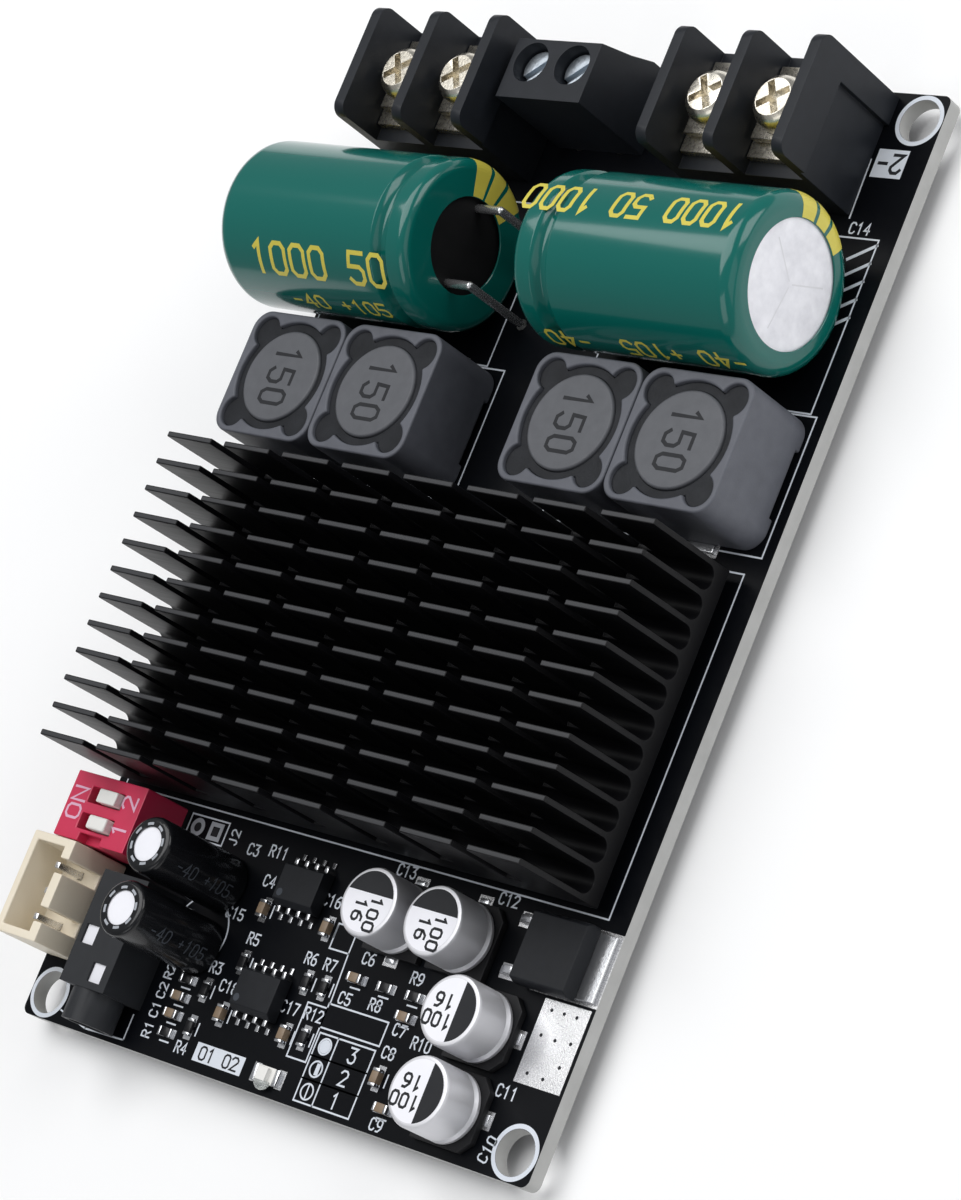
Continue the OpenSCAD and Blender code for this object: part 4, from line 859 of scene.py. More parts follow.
@dataclass(frozen=True)
class BoardGrid:
    """Places on the board face, in millimetres from its front left corner."""

    low: Vector
    high: Vector

    @classmethod
    def from_frame(cls) -> "BoardGrid":
        """Reads the board's box from the frame."""
        return cls(*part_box("circuit_board"))

    def at(self, x: float, y: float, z: float = 0.0) -> Vector:
        """Returns a place in the frame."""
        return Vector((self.low.x + x * MM, self.low.y + y * MM, self.high.z + z * MM))

    @property
    def face(self) -> Warp:
        """Warp that lays a drawing on the board face."""
        return flat_at(self.at(0.0, 0.0))

    def inward(self, box: SolidBox) -> Quad:
        """Returns a box's outline in board millimetres: x0, y0, x1, y1."""
        low, high = (box.low - self.low) / MM, (box.high - self.low) / MM
        return low.x, low.y, high.x, high.y


@dataclass(frozen=True)
class ModeTable:
    """The small printed table of three rows, each with a sign and a number."""

    x0: float = 36.2
    x1: float = 43.0
    y0: float = 0.6
    rise: float = 2.05
    split: float = 2.3  # width of the column of signs
    sign: float = 1.15  # middle of a sign from the left side
    ring: Pair = (0.62, 0.78)  # inner and outer radius of a sign
    dot: float = 0.6  # radius of the filled sign
    bar: Pair = (1.1, 1.55)  # left and right side of the middle sign's bar
    inset: float = 0.5  # room above and below a bar
    letter: float = 1.3

    def draw(self, ink: Marks, face: Warp, line: float) -> None:
        """Prints the table.

        Args:
            ink: Collects the marks.
            face: Warp of the board face.
            line: Line width in millimetres.
        """
        x0, x1, y0, rise, inset = self.x0, self.x1, self.y0, self.rise, self.inset
        split = x0 + self.split
        sign = x0 + self.sign
        for row in range(3):
            y = y0 + row * rise
            middle = y + rise / 2
            ink.frame_box(x0, y, x1, y + rise, line, face)
            ink.ring(sign, middle, *self.ring, face)
            ink.text(Words(str(row + 1), self.letter, (split + x1) / 2, middle), face)
        ink.stroke((split, y0), (split, y0 + 3 * rise), line, face)
        ink.disc(sign, y0 + 2.5 * rise, self.dot, face)
        ink.plate(x0 + self.bar[0], y0 + rise + inset, x0 + self.bar[1], y0 + 2 * rise - inset, face)
        ink.stroke((sign, y0 + inset), (sign, y0 + rise - inset), line, face)


@dataclass(frozen=True)
class Hatch:
    """The printed polarity hatching beside a capacitor."""

    count: int = 5
    step: float = 1.7
    lean: float = 1.5  # fall of a line over its length
    drop: float = 0.2  # first line from the corner
    inward: float = 2.2  # reach under the capacitor
    outward: float = 0.3  # reach past it
    line: float = 0.3

    def draw(self, ink: Marks, face: Warp, x: float, y: float) -> None:
        """Prints the lines forward from a capacitor's rear corner.

        Args:
            ink: Collects the marks.
            face: Warp of the board face.
            x: Place of the corner, in board millimetres.
            y: Place of the corner.
        """
        for i in range(self.count):
            top = y - self.drop - i * self.step
            ink.stroke((x - self.inward, top - self.lean), (x + self.outward, top), self.line, face)


@dataclass
class CircuitBoard:
    """The bare board with its ink, pads and vias, in board millimetres."""

    grid: BoardGrid
    edge_round: float = 0.12
    joint_round: float = 0.1
    line: float = 0.15
    letter: float = 1.0
    letter_wide: float = 0.8
    level: float = 0.9  # upright share of a normal past which a face takes the mask
    hole_inset: float = 2.5  # corner hole from the board's sides
    hole_ring: Pair = (2.02, 2.42)  # inner and outer radius
    margin: float = 0.5  # room from outlines to the board's edge
    outlines: tuple[tuple[str, float], ...] = (  # node and the room round it
        ("heatsink", 0.35), ("inductor_shields", 0.35), ("left_cap_sleeve", 0.3), ("right_cap_sleeve", 0.3),
    )
    can_ring: Quad = (17.7, 11.9, 3.28, 3.44)  # middle, inner and outer radius
    boxes: tuple[Quad, ...] = (
        (11.0, 19.8, 16.0, 22.0), (35.9, 7.2, 43.2, 9.35), (33.5, 3.95, 35.9, 8.9), (33.4, 13.9, 35.8, 16.2),
    )
    strokes: tuple[tuple[Pair, Pair], ...] = (  # from point to point
        ((4.8, 1.3), (8.7, 0.45)), ((8.7, 0.45), (13.9, 0.6)), ((13.9, 0.6), (13.9, 3.0)),
        ((35.8, 13.9), (36.0, 9.35)), ((58.0, 92.5), (58.15, 86.9)),
    )
    bar_gap: Pair = (0.42, 0.05)  # room from chip part to bar, overrun of the bar
    labels: tuple[Quad, ...] = ((22.9, 0.95, 29.1, 2.65), (58.5, 90.9, 61.8, 93.6))
    label_words: tuple[Words, ...] = (
        Words("01 02", 1.15, 26.0, 1.8, line=0.18, wide=0.95), Words("2-", 1.7, 60.15, 92.25, 180.0, 0.3),
    )
    jumper: tuple[float, float, float] = (12.25, 14.6, 20.9)  # round and square land along X, both along Y
    jumper_hole: Pair = (0.45, 0.85)  # radius of a hole and of its land
    hole_share: float = 0.96  # painted shade disc against the hole
    hole_height: float = 0.012
    lamp_land: float = 0.9  # length of the lamp's lands
    lamp_over: float = 0.1  # past the lamp's sides
    lamp_height: float = 0.05
    pad_over: float = 0.3  # past a terminal's sides
    pad_height: float = 0.04
    bare_pad: Quad = (58.5, 7.95, 63.65, 15.25)
    bare_height: float = 0.03
    pad_vias: tuple[Pair, ...] = (
        (59.6, 14.4), (61.0, 14.4), (62.4, 14.4), (59.5, 12.2), (61.1, 12.1), (62.8, 12.2), (62.6, 10.1),
        (59.6, 8.9), (61.4, 8.8),
    )
    via: Pair = (0.16, 0.02)  # radius and height of a dark stud, painted shade of a via's open bore
    chip_pad: Pair = (0.55, 0.12)  # half diagonal and height
    chip_stretch: Pair = (1.25, 1.1)  # along and across the chip part
    chip_lift: float = 0.04  # middle above the board face

    def build(self) -> None:
        """Makes the board, its ink and its metal."""
        soft_node("circuit_board", [Palette.MASK, Palette.LAMINATE], self.edge_round,
                  paint=lambda f: 0 if abs(f.normal.z) > self.level else 1)
        soft_node("solder_joints", [Palette.SOLDER], self.joint_round)
        self._ink()
        self._filled_labels()
        self._jumper_lands()
        self._tinned_pads()
        self._jumper_holes()
        self._studs()

    def _ink(self) -> None:
        """Prints lines, rings and part numbers."""
        ink, face = Marks(), self.grid.face
        wide, deep = (self.grid.high - self.grid.low).xy / MM
        for x in (self.hole_inset, wide - self.hole_inset):
            for y in (self.hole_inset, deep - self.hole_inset):
                ink.ring(x, y, *self.hole_ring, face)
        for node, gap in self.outlines:
            self._outline(ink, node, gap)
        corner = self.grid.inward(solids("right_cap_sleeve")[0])
        Hatch().draw(ink, face, corner[2], corner[3])
        ink.ring(*self.can_ring, face)
        for box in self.boxes:
            ink.frame_box(*box, self.line, face)
        for start, stop in self.strokes:
            ink.stroke(start, stop, self.line, face)
        ModeTable().draw(ink, face, self.line)
        self._part_bars(ink)
        for words, x, y, turn in self._part_numbers():
            ink.text(Words(words, self.letter, x, y, turn, self.line, self.letter_wide), face)
        ink.publish("board_ink", Palette.SILK, "solder_mask")

    def _outline(self, ink: Marks, node: str, gap: float) -> None:
        """Prints a rectangle around each solid of a node, kept on the board.

        Args:
            ink: Collects the marks.
            node: CAD node name.
            gap: Room between the solid and the line.
        """
        wide, deep = (self.grid.high - self.grid.low).xy / MM
        edge = self.margin
        for box in solids(node):
            x0, y0, x1, y1 = self.grid.inward(box)
            ink.frame_box(max(edge, x0 - gap), max(edge, y0 - gap), min(wide - edge, x1 + gap),
                          min(deep - edge, y1 + gap), self.line, self.grid.face)

    @staticmethod
    def _part_numbers() -> list[tuple[str, float, float, float]]:
        """Lists the plain part numbers.

        Returns:
            The words, x, y and turn of each.
        """
        return [
            ("R1", 16.3, 2.2, 90), ("C1", 16.2, 4.1, 90), ("C2", 16.12, 5.9, 90), ("R2", 16.1, 7.75, 90),
            ("R3", 21.4, 9.3, 0), ("R4", 21.1, 1.65, 0), ("R5", 24.4, 12.7, 0), ("C3", 20.1, 20.3, 0),
            ("J2", 17.2, 20.9, 90), ("C4", 23.5, 18.0, 0), ("R6", 31.9, 12.55, 0), ("R7", 34.3, 12.5, 0),
            ("C5", 37.4, 10.15, 0), ("C6", 38.3, 14.0, 0), ("R8", 41.0, 10.4, 0), ("R9", 44.4, 13.6, 0),
            ("C7", 44.7, 9.0, 0), ("R10", 47.6, 8.4, 0), ("C8", 44.5, 6.9, 0), ("C9", 46.2, 0.9, 0),
            ("C10", 58.6, 2.0, 80), ("C11", 58.3, 6.9, 0), ("C12", 50.8, 22.2, 0), ("C13", 38.6, 22.2, 0),
            ("C14", 59.7, 86.0, 0), ("C15", 21.0, 14.4, 0), ("C16", 31.6, 17.9, 0), ("R11", 23.2, 20.7, 0),
            ("C17", 31.7, 7.95, 0), ("R12", 34.7, 8.0, 0), ("C18", 23.8, 8.0, 0),
        ]

    def _part_bars(self, ink: Marks) -> None:
        """Prints a short bar beside each chip part.

        Args:
            ink: Collects the marks.
        """
        gap, over = self.bar_gap
        for node in ("chip_resistors", "chip_capacitors"):
            for box in solids(node):
                x0, y0, x1, y1 = self.grid.inward(box)
                if x1 - x0 > y1 - y0:
                    ink.stroke((x0 - over, y0 - gap), (x1 + over, y0 - gap), self.line, self.grid.face)
                else:
                    ink.stroke((x1 + gap, y0 - over), (x1 + gap, y1 + over), self.line, self.grid.face)

    def _filled_labels(self) -> None:
        """Prints the two white labels with plain dark numbers."""
        ground, dark = Marks(), Marks()
        lifted = flat_at(self.grid.at(0.0, 0.0, INK - INK_SINK))
        for label in self.labels:
            ground.plate(*label, self.grid.face)
        for words in self.label_words:
            dark.text(words, lifted)
        ground.publish("board_labels", Palette.SILK, "solder_mask")
        dark.publish("board_label_words", Palette.DARK_INK, "solder_mask")

    def _jumper_lands(self) -> None:
        """Lays the round and the square land of the open jumper."""
        lands, face = Marks(), self.grid.face
        hole, land = self.jumper_hole
        round_x, square_x, y = self.jumper
        lands.ring(round_x, y, hole, land, face, height=self.pad_height)
        middle = (hole + land) / 2
        lands.frame_box(square_x - middle, y - middle, square_x + middle, y + middle, land - hole, face)
        lands.publish("jumper_lands", Palette.PALE_INK, "solder")

    def _tinned_pads(self) -> None:
        """Lays the bare pad, the lamp's lands and the pads of the larger surface parts."""
        pads, face = Marks(), self.grid.face
        pads.plate(*self.bare_pad, face, self.bare_height)
        x0, y0, x1, y1 = self.grid.inward(solids("power_lamp")[0])
        for x in (x0 - self.lamp_land, x1):
            pads.plate(x, y0 - self.lamp_over, x + self.lamp_land, y1 + self.lamp_over, face,
                       self.lamp_height)
        over = self.pad_over
        for node in ("inductor_terminals", "surface_cap_terminals", "regulator_metal"):
            for box in solids(node):
                x0, y0, x1, y1 = self.grid.inward(box)
                pads.plate(x0 - over, y0 - over, x1 + over, y1 + over, face, self.pad_height)
        pads.publish("tinned_pads", Palette.TIN, "solder")

    def _jumper_holes(self) -> None:
        """Puts a dark disc in each of the two holes of the open jumper, painted shade of the open bore."""
        holes = Marks()
        round_x, square_x, y = self.jumper
        for x in (round_x, square_x):
            holes.disc(x, y, self.jumper_hole[0] * self.hole_share, self.grid.face, self.hole_height)
        holes.publish("jumper_holes", Palette.DARK_INK, "solder_mask")

    def _studs(self) -> None:
        """Stands dark studs on the bare pad, painted shade of the open via holes, and solder under the ends
        of the chip parts.
        """
        radius, height = self.via
        spots = [self.grid.at(x, y, self.bare_height) for x, y in self.pad_vias]
        vias = StudTree("via_shade_studs", Palette.DARK_INK, 12)
        vias.grow("pad_vias", spots, radius * MM, height * MM)
        ends = solids("chip_ends")
        half, height = self.chip_pad
        along, across = self.chip_stretch
        level = self.grid.high.z + self.chip_lift * MM
        square = StudTree("chip_pads", Palette.SOLDER, 4)
        for name, lying in (("chip_pads_across", True), ("chip_pads_along", False)):
            spots = [Vector((b.centre.x, b.centre.y, level)) for b in ends if (b.size.x < b.size.y) == lying]
            stretch = Vector((along, across, 1.0) if lying else (across, along, 1.0))
            square.grow(name, spots, half * MM, height * MM, stretch)


@dataclass
class CoolingStack:
    """The heatsink with what holds it and what it cools."""

    edge_round: float = 0.1
    screw_round: float = 0.12
    plate: float = 5.0  # height past which upward faces are fin tops
    upward: float = 0.4  # upright share of a normal past which a face looks up

    def build(self) -> None:
        """Makes the heatsink and dresses the hidden pieces under it."""
        fin_foot = solids("heatsink")[0].low.z + self.plate * MM

        def paint(face: bmesh.types.BMFace) -> int:
            """Gives the fin tops the lighter, glossier finish, a painted sheen."""
            return int(face.normal.z > self.upward and face.calc_center_median().z > fin_foot)

        soft_node("heatsink", [Palette.ANODISED, Palette.RUBBED], self.edge_round, paint=paint)
        soft_node("heatsink_screws", [Palette.NICKEL], self.screw_round)
        dress_node("thermal_pad", Palette.PAD)
        dress_node("amplifier_chip", Palette.EPOXY)
        dress_node("amplifier_leads", Palette.TIN)


class Side(Enum):
    """Which one of a pair of like pieces."""

    LEFT = "left"
    RIGHT = "right"


@dataclass
class MainCapacitor:
    """A lying electrolytic capacitor with its printed sleeve."""

    side: Side
    softened: tuple[Soft, ...] = (
        Soft("{}_cap_sleeve", Palette.SLEEVE, 0.05, 1), Soft("{}_cap_can", Palette.BRUSHED, 0.1),
        Soft("{}_cap_bung", Palette.RUBBER, 0.25), Soft("{}_cap_leads", Palette.TIN, 0.05),
    )
    letter: float = 2.6
    bend_step: float = 0.5  # longest straight piece of a printed line
    ring_open: Pair = (4.5, 1.02)  # inner radius of the end ring, and its shoulder, round the bung
    ring_closed: Pair = (5.65, 1.52)  # the same round the bare disc
    stripe: tuple[float, float, int] = (-38.0, 20.0, 16)  # first and last angle, rows
    stripe_ends: Pair = (1.8, 5.0)  # room to the plain end and to the crimped end
    shoulder_step: int = 15  # degrees from point to point
    bar_step: float = 3.0  # degrees from line to line
    vent_reach: Pair = (0.35, 4.3)  # start and end from the middle
    vent_turns: tuple[float, ...] = (52.0, 172.0, 292.0)
    vent_line: Pair = (0.14, 0.012)  # width and height
    end_bars: tuple[Pair, ...] = ((4.0, 20.0), (-14.0, 0.0), (-38.0, -18.0))

    def build(self) -> None:
        """Makes the sleeve, can, bung, leads and print."""
        soft_nodes(self.softened, self.side.value)
        self._print()
        if self.side is Side.RIGHT:
            self._vent()

    def _words(self) -> tuple[tuple[float, Words], ...]:
        """Picks the plain numbers of this sleeve.

        Returns:
            Each line of them, after its angle from the top in degrees.
        """
        if self.side is Side.LEFT:
            return (
                (-46.0, Words("1000 50", self.letter * 1.15, 1.0, line=0.42)),
                (-80.0, Words("-40 +105", self.letter * 0.72, 1.6, line=0.26)),
            )
        return (
            (-18.0, Words("1000 50 1000", self.letter, 1.0, line=0.4, wide=0.78)),
            (84.0, Words("-40 +105  -40", self.letter * 0.85, -0.6, line=0.3, wide=0.8)),
        )

    def _print(self) -> None:
        """Prints plain numbers and the polarity stripe."""
        box = solids(f"{self.side.value}_cap_sleeve")[0]
        reads = 1.0 if self.side is Side.LEFT else -1.0
        roll = Roll(box.centre, AXIS_X * reads, AXIS_Z, AXIS_Y * reads, box.size.z / 2)
        ink = Marks()
        for angle, words in self._words():
            ink.text(words, roll.at(angle), step=self.bend_step)
        self._stripe(ink, box)
        ink.publish(f"{self.side.value}_cap_print", Palette.YELLOW, "green_sleeve")

    def _stripe(self, ink: Marks, box: SolidBox) -> None:
        """Prints the polarity stripe along the rear of the sleeve and over its end ring.

        Args:
            ink: Collects the marks.
            box: The sleeve.
        """
        low, high, rows = self.stripe
        roll = Roll(box.centre, AXIS_X, AXIS_Y, -AXIS_Z, box.size.z / 2)
        half = box.size.x / 2 / MM
        plain, seam = self.stripe_ends
        start, stop = (-half + plain, half - seam) if self.side is Side.LEFT else (-half + seam, half - plain)
        reach = math.radians(1.0) * roll.radius / MM
        lines = [-reach * (low + (high - low) * i / rows) for i in range(rows + 1)]
        ink.patch([start, stop], lines, roll.at(0.0))
        for a, b in self.end_bars:
            self._end_bar(ink, box, a, b)

    def _end_bar(self, ink: Marks, box: SolidBox, low: float, high: float) -> None:
        """Prints one bar of the stripe over the rounded shoulder and the end face.

        Args:
            ink: Collects the mark.
            box: The sleeve.
            low: First angle in degrees, 0 at the rear and 90 on top.
            high: Last angle in degrees.
        """
        outer = box.size.z / 2 / MM
        inner, curve = self.ring_open if self.side is Side.LEFT else self.ring_closed
        tilts = [math.radians(t) for t in range(0, 91, self.shoulder_step)]
        profile = [(inner, 0.0, 0.0)]
        profile += [(outer - curve * (1 - math.sin(t)), curve * (1 - math.cos(t)), t) for t in tilts]
        profile.append((outer, self.stripe_ends[0], tilts[-1]))

        def bend(p: Vector) -> Vector:
            """Bends a point over the shoulder.

            Args:
                p: Number of a profile point, angle in degrees, height in millimetres.

            Returns:
                Its place in the frame.
            """
            reach, depth, tilt = profile[int(p.x)]
            lift = p.z - SKIN_SINK
            out = (reach + lift * math.sin(tilt)) * MM
            turn = math.radians(p.y)
            return Vector((box.high.x - (depth - lift * math.cos(tilt)) * MM,
                           box.centre.y + out * math.cos(turn), box.centre.z + out * math.sin(turn)))

        steps = max(2, int((high - low) / self.bar_step))
        ink.patch(range(len(profile)), [low + (high - low) * i / steps for i in range(steps + 1)], bend)

    def _vent(self) -> None:
        """Lays three darker lines on the bare disc of the right capacitor, painted shade standing for its
        scored vent grooves.
        """
        disc = solids("right_cap_can")[0]
        lines = Marks()

        def face(p: Vector) -> Vector:
            """Lays a drawing on the disc, which faces along X."""
            lift = (p.z - SKIN_SINK) * MM
            return Vector((disc.high.x + lift, disc.centre.y + p.x * MM, disc.centre.z + p.y * MM))

        inner, outer = self.vent_reach
        width, height = self.vent_line
        for degrees in self.vent_turns:
            way = Vector((math.cos(math.radians(degrees)), math.sin(math.radians(degrees))))
            lines.ribbon([tuple(way * inner), tuple(way * outer)], width, face, height)
        lines.publish("right_cap_vent_shade", Palette.CAN, "bare_aluminium")


@dataclass
class Inductors:
    """The four shielded output inductors."""

    softened: tuple[Soft, ...] = (
        Soft("inductor_shields", Palette.FERRITE, 0.28, 3), Soft("inductor_resin", Palette.RESIN, 0.12),
        Soft("inductor_cores", Palette.CORE, 0.25, 3), Soft("inductor_terminals", Palette.SOLDER, 0.12),
    )
    value: Words = Words("150", 3.1, turn=-90.0, line=0.36, wide=0.64)

    def build(self) -> None:
        """Makes shields, resin, cores, terminals and printed values."""
        soft_nodes(self.softened)
        ink = Marks()
        for box in solids("inductor_cores"):
            ink.text(self.value, flat_at(box.top))
        ink.publish("inductor_values", Palette.DARK_INK, "ferrite_core")


@dataclass
class BarrierBlocks:
    """The two speaker terminals with contacts, washers and screws."""

    poles: int = 4
    housings: tuple[Soft, ...] = (Soft("{}_barrier_housing", Palette.THERMOSET, 0.18),)
    contacts: tuple[Soft, ...] = (Soft("barrier_contacts", Palette.NICKEL, 0.08),)
    clamping: tuple[Soft, ...] = (
        Soft("barrier_washer_{}", Palette.NICKEL, 0.12), Soft("barrier_screw_{}", Palette.NICKEL, 0.1),
    )

    def build(self) -> None:
        """Makes housings, contacts, washers and screws."""
        for side in Side:
            soft_nodes(self.housings, side.value)
        soft_nodes(self.contacts)
        for pole in range(1, self.poles + 1):
            soft_nodes(self.clamping, pole)


@dataclass
class PowerTerminal:
    """The supply terminal with its rising clamps."""

    poles: int = 2
    housing: tuple[Soft, ...] = (Soft("power_housing", Palette.THERMOSET, 0.18),)
    clamping: tuple[Soft, ...] = (
        Soft("power_clamp_{}", Palette.BRASS, 0.08), Soft("power_screw_{}", Palette.STEEL, 0.1),
    )

    def build(self) -> None:
        """Makes the housing, contacts, clamps and screws."""
        soft_nodes(self.housing)
        dress_node("power_contacts", Palette.TIN)
        for pole in range(1, self.poles + 1):
            soft_nodes(self.clamping, pole)


@dataclass
class SwitchBlock:
    """The red two way switch block."""

    softened: tuple[Soft, ...] = (
        Soft("switch_cover", Palette.RED, 0.12), Soft("switch_base", Palette.DARK, 0.08),
        Soft("switch_pins", Palette.TIN, 0.05),
    )
    sliders: tuple[Soft, ...] = (Soft("switch_slider_{}", Palette.WHITE, 0.22, 3),)
    letter: float = 1.75
    line: float = 0.24
    on_place: Pair = (1.4, 0.2)  # from the left side, off the middle line
    on_wide: float = 1.05
    way_inset: float = 1.6  # from the right side
    way_rows: Pair = (-1.2, 1.4)  # off the middle line

    def build(self) -> None:
        """Makes the cover, base, sliders, pins and marks."""
        soft_nodes(self.softened)
        for way in (1, 2):
            soft_nodes(self.sliders, way)
        box = solids("switch_cover")[0]
        ink, face = Marks(), flat_at(box.top)
        half = box.size.x / 2 / MM
        inset, y = self.on_place
        ink.text(Words("ON", self.letter, -half + inset, y, 90.0, self.line, self.on_wide), face)
        for way, y in enumerate(self.way_rows, 1):
            ink.text(Words(str(way), self.letter, half - self.way_inset, y, 90.0, self.line), face)
        ink.publish("switch_marks", Palette.PINK_INK, "white_plastic")


@dataclass
class PinHeader:
    """The ivory three way header."""

    softened: tuple[Soft, ...] = (
        Soft("header_housing", Palette.IVORY, 0.16), Soft("header_pins", Palette.TIN, 0.1),
    )

    def build(self) -> None:
        """Makes the shroud and pins."""
        soft_nodes(self.softened)


@dataclass
class AudioJack:
    """The 3.5 mm audio jack."""

    softened: tuple[Soft, ...] = (
        Soft("jack_body", Palette.JACK, 0.15), Soft("jack_contacts", Palette.LID, 0.05),
    )

    def build(self) -> None:
        """Makes the body and contacts."""
        soft_nodes(self.softened)


@dataclass
class StandingCans:
    """The two standing electrolytic capacitors."""

    softened: tuple[Soft, ...] = (
        Soft("can_sleeves", Palette.BLACK_SLEEVE, 0.06, 1), Soft("can_bodies", Palette.LID, 0.08),
        Soft("can_leads", Palette.TIN, 0.0),
    )
    words: Words = Words("-40 +105", 1.2, 0.3, line=0.12, wide=0.75)
    words_at: float = -18.0  # degrees round from X
    bend_step: float = 0.4  # longest straight piece of a printed line
    dashes: int = 8
    dash_ring: Pair = (1.74, 1.98)  # inner and outer radius
    dash_arc: Pair = (4.0, 22.0)  # start of the first, angle that each covers

    def build(self) -> None:
        """Makes sleeves, cans, leads and print."""
        soft_nodes(self.softened)
        start, sweep = self.dash_arc
        ink, rim = Marks(), Marks()
        for box in solids("can_sleeves"):
            roll = Roll(box.centre, -AXIS_Z, AXIS_X, AXIS_Y, box.size.x / 2)
            ink.text(self.words, roll.at(self.words_at), step=self.bend_step)
            top = flat_at(box.top)
            for dash in range(self.dashes):
                rim.ring(0.0, 0.0, *self.dash_ring, top, 360.0 / self.dashes * dash + start, sweep)
        ink.publish("can_print", Palette.GREY_INK, "black_sleeve")
        rim.publish("can_rim_print", Palette.PALE_INK, "black_sleeve")


@dataclass
class SurfaceCans:
    """The four surface electrolytic capacitors."""

    softened: tuple[Soft, ...] = (
        Soft("surface_cap_bases", Palette.DARK, 0.1), Soft("surface_cap_cans", Palette.CAN, 0.0),
        Soft("surface_cap_terminals", Palette.SOLDER, 0.06),
    )
    chord: float = 0.75  # dark segment's straight side from the middle
    rim: float = 0.41  # width of the bare rim
    lid_gap: float = 0.02  # room from the rim to the pale disc
    lid_height: float = 0.012
    mark_lift: float = 0.006  # dark marks above the can
    mark_height: float = 0.014
    arc_steps: int = 24
    rear_gap: float = 3.0  # room to the regulator past which a can is a rear one
    values: tuple[Words, ...] = (
        Words("100", 1.15, 1.05, -0.95, -90.0, 0.24, 0.95), Words("16", 1.15, -0.6, -0.85, -90.0, 0.24, 0.95),
    )

    def build(self) -> None:
        """Makes bases, cans, terminals and top marks."""
        soft_nodes(self.softened)
        dark, lid = Marks(), Marks()
        for box in solids("surface_cap_cans"):
            self._top(box, dark, lid)
        lid.publish("surface_cap_lids", Palette.LID, "bare_aluminium")
        dark.publish("surface_cap_marks", Palette.DARK_INK, "bare_aluminium")

    def _top(self, box: SolidBox, dark: Marks, lid: Marks) -> None:
        """Marks one lid with its polarity segment and value.

        Args:
            box: The can.
            dark: Collects the dark marks.
            lid: Collects the pale discs.
        """
        rear = box.centre.x < solids("regulator_body")[0].low.x - self.rear_gap * MM
        turn = 0.0 if rear else -90.0
        radius = box.size.x / 2 / MM - self.rim
        lid.disc(0.0, 0.0, radius - self.lid_gap, flat_at(box.top, turn), self.lid_height, 48)
        over = flat_at(box.top + Vector((0.0, 0.0, self.mark_lift * MM)), turn)
        start = math.degrees(math.asin(self.chord / radius))
        sweep = 180.0 - 2 * start
        angles = [math.radians(start + sweep * i / self.arc_steps) for i in range(self.arc_steps + 1)]
        dark.prism([(radius * math.cos(a), radius * math.sin(a)) for a in angles], over, self.mark_height)
        for words in self.values:
            dark.text(words, over, self.mark_height)


@dataclass
class SmallChips:
    """The two eight lead chips and the regulator."""

    softened: tuple[Soft, ...] = (
        Soft("opamp_bodies", Palette.EPOXY, 0.08), Soft("opamp_leads", Palette.SOLDER, 0.04),
        Soft("regulator_body", Palette.EPOXY, 0.12), Soft("regulator_metal", Palette.SOLDER, 0.08),
    )
    dot: float = 0.35  # radius of the pin one dot
    dot_place: Pair = (-1.8, -0.9)  # from the middle of the chip
    dot_height: float = 0.01

    def build(self) -> None:
        """Makes bodies, leads and the pin one dots."""
        soft_nodes(self.softened)
        dots = Marks()
        for box in solids("opamp_bodies"):
            dots.disc(*self.dot_place, self.dot, flat_at(box.top), self.dot_height)
        dots.publish("opamp_dots", Palette.GREY_INK, "moulded_epoxy")


@dataclass
class ChipParts:
    """Chip resistors, chip capacitors and the lamp."""

    softened: tuple[Soft, ...] = (
        Soft("chip_resistors", Palette.CHIP_BLACK, 0.06), Soft("chip_capacitors", Palette.CHIP_TAN, 0.06),
        Soft("chip_ends", Palette.SOLDER, 0.06), Soft("power_lamp", Palette.WHITE, 0.06),
    )
    lens: tuple[float, float, float] = (0.95, 0.85, 0.46)  # half width, reach, half height
    lens_bite: float = 0.2  # how far it sits in the lamp
    lens_rows: tuple[int, int] = (28, 14)  # faces round it and over it
    lens_slack: float = 1e-5  # past it, a point lies behind the flat back

    def build(self) -> None:
        """Makes the bodies, metal ends and lamp."""
        soft_nodes(self.softened)
        self._lens()

    def _lens(self) -> None:
        """Makes the lamp's clear half round lens, which looks over the front edge."""
        lamp = solids("power_lamp")[0]
        foot = Vector((lamp.centre.x, lamp.low.y + self.lens_bite * MM, lamp.low.z + lamp.size.z / 2))
        radius, reach, half = self.lens
        around, over = self.lens_rows
        bm = bmesh.new()
        bmesh.ops.create_uvsphere(bm, u_segments=around, v_segments=over, radius=1.0)
        behind = [v for v in bm.verts if v.co.y > self.lens_slack]
        bmesh.ops.delete(bm, geom=behind, context="VERTS")
        rim = [e for e in bm.edges if e.is_boundary]
        bmesh.ops.contextual_create(bm, geom=rim)
        for vert in bm.verts:
            vert.co = foot + Vector((vert.co.x * radius, vert.co.y * reach, vert.co.z * half)) * MM
        bmesh.ops.recalc_face_normals(bm, faces=bm.faces[:])
        soften(bm, 0.0)
        publish(bm, "power_lamp_lens", [Palette.LENS], ROOT, SLOT_OF["power_lamp"])


@dataclass(frozen=True)
class SoftLight:
    """A square area light that looks at the origin."""

    name: str
    place: tuple[float, float, float]  # metres
    size: float  # side in metres
    power: float  # watts

    def hang(self) -> None:
        """Puts the light in the scene."""
        lamp = bpy.data.lights.new(self.name, "AREA")
        lamp.size = self.size
        lamp.energy = self.power
        holder = bpy.data.objects.new(self.name, lamp)
        bpy.context.scene.collection.objects.link(holder)
        aim = (-Vector(self.place)).to_track_quat("-Z", "Y").to_matrix().to_4x4()
        holder.matrix_world = Matrix.Translation(self.place) @ aim


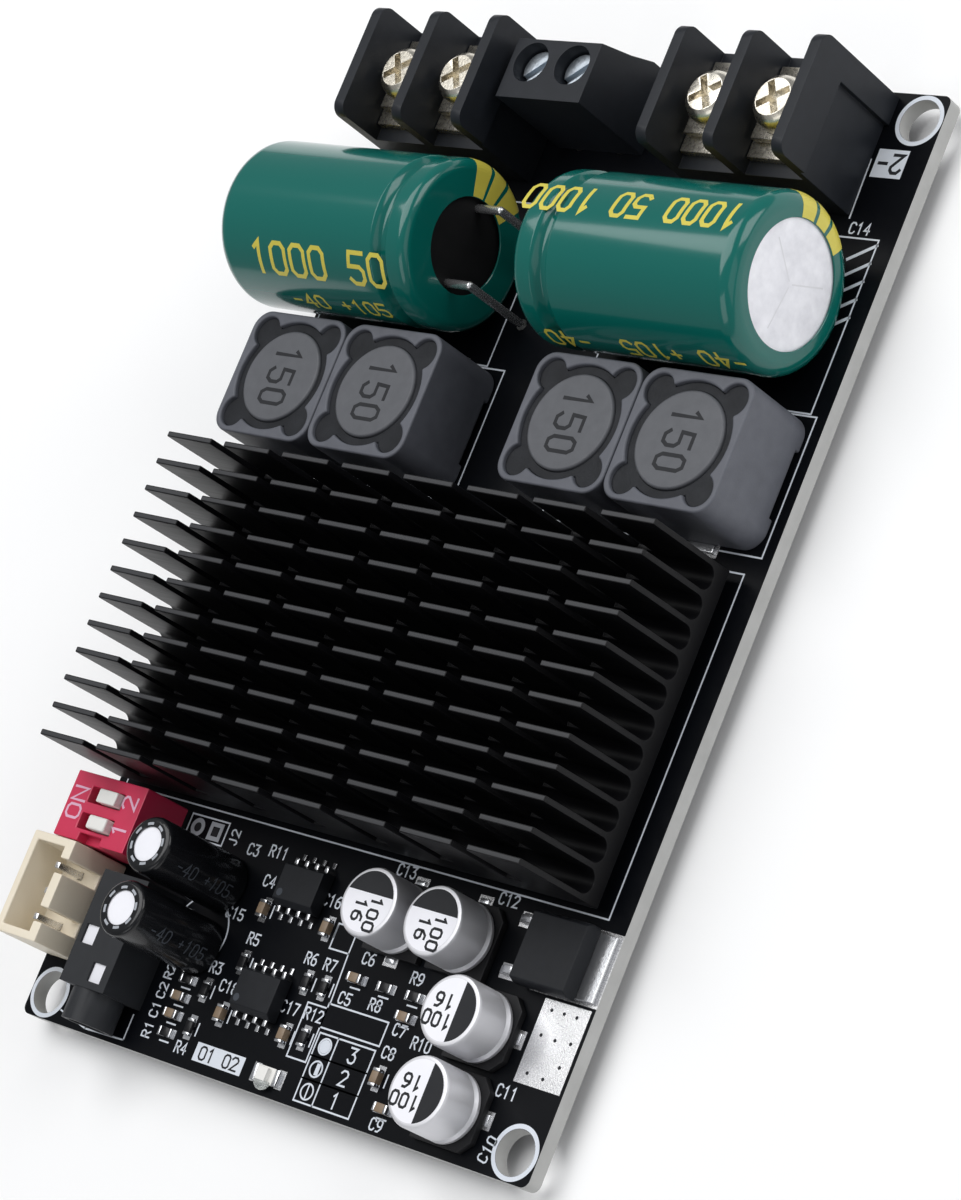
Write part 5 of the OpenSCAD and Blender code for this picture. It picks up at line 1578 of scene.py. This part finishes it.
@dataclass
class Studio:
    """Floor, lights and the camera at the photograph's place."""

    grid: BoardGrid
    image_h: int = 1200  # height of the photograph in pixels
    focal_px: float = 3777.15  # focal length in its pixels
    sensor: float = 36.0
    near: float = 0.02  # metres
    eye: tuple[float, float, float] = (261.392, -15.110, 233.994)  # board millimetres
    right: tuple[float, float, float] = (0.714362, 0.369202, -0.594454)
    down: tuple[float, float, float] = (0.148867, -0.910227, -0.386426)
    ahead: tuple[float, float, float] = (-0.683758, 0.187554, -0.705194)
    floor_half: float = 3.0  # metres
    sky: Colour = (0.95, 0.97, 1.0)
    sky_power: float = 0.28
    lights: tuple[SoftLight, ...] = (
        SoftLight("key_light", (-0.12, 0.16, 0.6), 0.6, 3.5),
        SoftLight("side_light", (0.1, -0.5, 0.35), 0.35, 0.5),
        SoftLight("rim_light", (0.5, 0.42, 0.28), 0.4, 1.6),
        SoftLight("front_light", (0.6, -0.1, 0.3), 0.4, 0.3),
    )

    def build(self) -> None:
        """Makes the camera, floor and lights."""
        self._camera()
        self._floor()
        self._surround()
        for light in self.lights:
            light.hang()

    def _camera(self) -> None:
        """Stands the camera where the photograph was taken."""
        lens = bpy.data.cameras.new("photo_camera")
        lens.sensor_width = self.sensor
        lens.lens = self.focal_px * self.sensor / self.image_h
        lens.clip_start = self.near
        camera = bpy.data.objects.new("photo_camera", lens)
        bpy.context.scene.collection.objects.link(camera)
        axes = (Vector(self.right), -Vector(self.down), -Vector(self.ahead))
        turn = Matrix([[a[i] for a in axes] for i in range(3)]).to_4x4()
        camera.matrix_world = Matrix.Translation(self.grid.at(*self.eye)) @ turn
        bpy.context.scene.camera = camera

    def _floor(self) -> None:
        """Lays the pale floor under the lowest point."""
        low, _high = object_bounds()
        bm = bmesh.new()
        bmesh.ops.create_grid(bm, x_segments=1, y_segments=1, size=self.floor_half,
                              matrix=Matrix.Translation((0.0, 0.0, low.z)))
        mesh = bpy.data.meshes.new("studio_floor")
        bm.to_mesh(mesh)
        bm.free()
        mesh.materials.append(Palette.FLOOR.material())
        floor = bpy.data.objects.new("studio_floor", mesh)
        bpy.context.scene.collection.objects.link(floor)
        floor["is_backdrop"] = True

    def _surround(self) -> None:
        """Sets an even pale surround."""
        world = bpy.data.worlds.new("studio_surround")
        world.use_nodes = True
        ground = world.node_tree.nodes["Background"]
        ground.inputs["Color"].default_value = (*self.sky, 1.0)
        ground.inputs["Strength"].default_value = self.sky_power
        bpy.context.scene.world = world
        bpy.context.scene.view_settings.view_transform = "Standard"


def main() -> None:
    """Builds the studio, then every sub-assembly in order."""
    logging.basicConfig(level=logging.INFO, format="%(name)s %(message)s")
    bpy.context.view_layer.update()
    grid = BoardGrid.from_frame()
    Studio(grid).build()
    for part in (CircuitBoard(grid), CoolingStack(), MainCapacitor(Side.LEFT), MainCapacitor(Side.RIGHT),
                 Inductors(), BarrierBlocks(), PowerTerminal(), SwitchBlock(), PinHeader(), AudioJack(),
                 StandingCans(), SurfaceCans(), SmallChips(), ChipParts()):
        part.build()
        LOG.info("%s done", type(part).__name__)


if __name__ == "__main__":
    main()
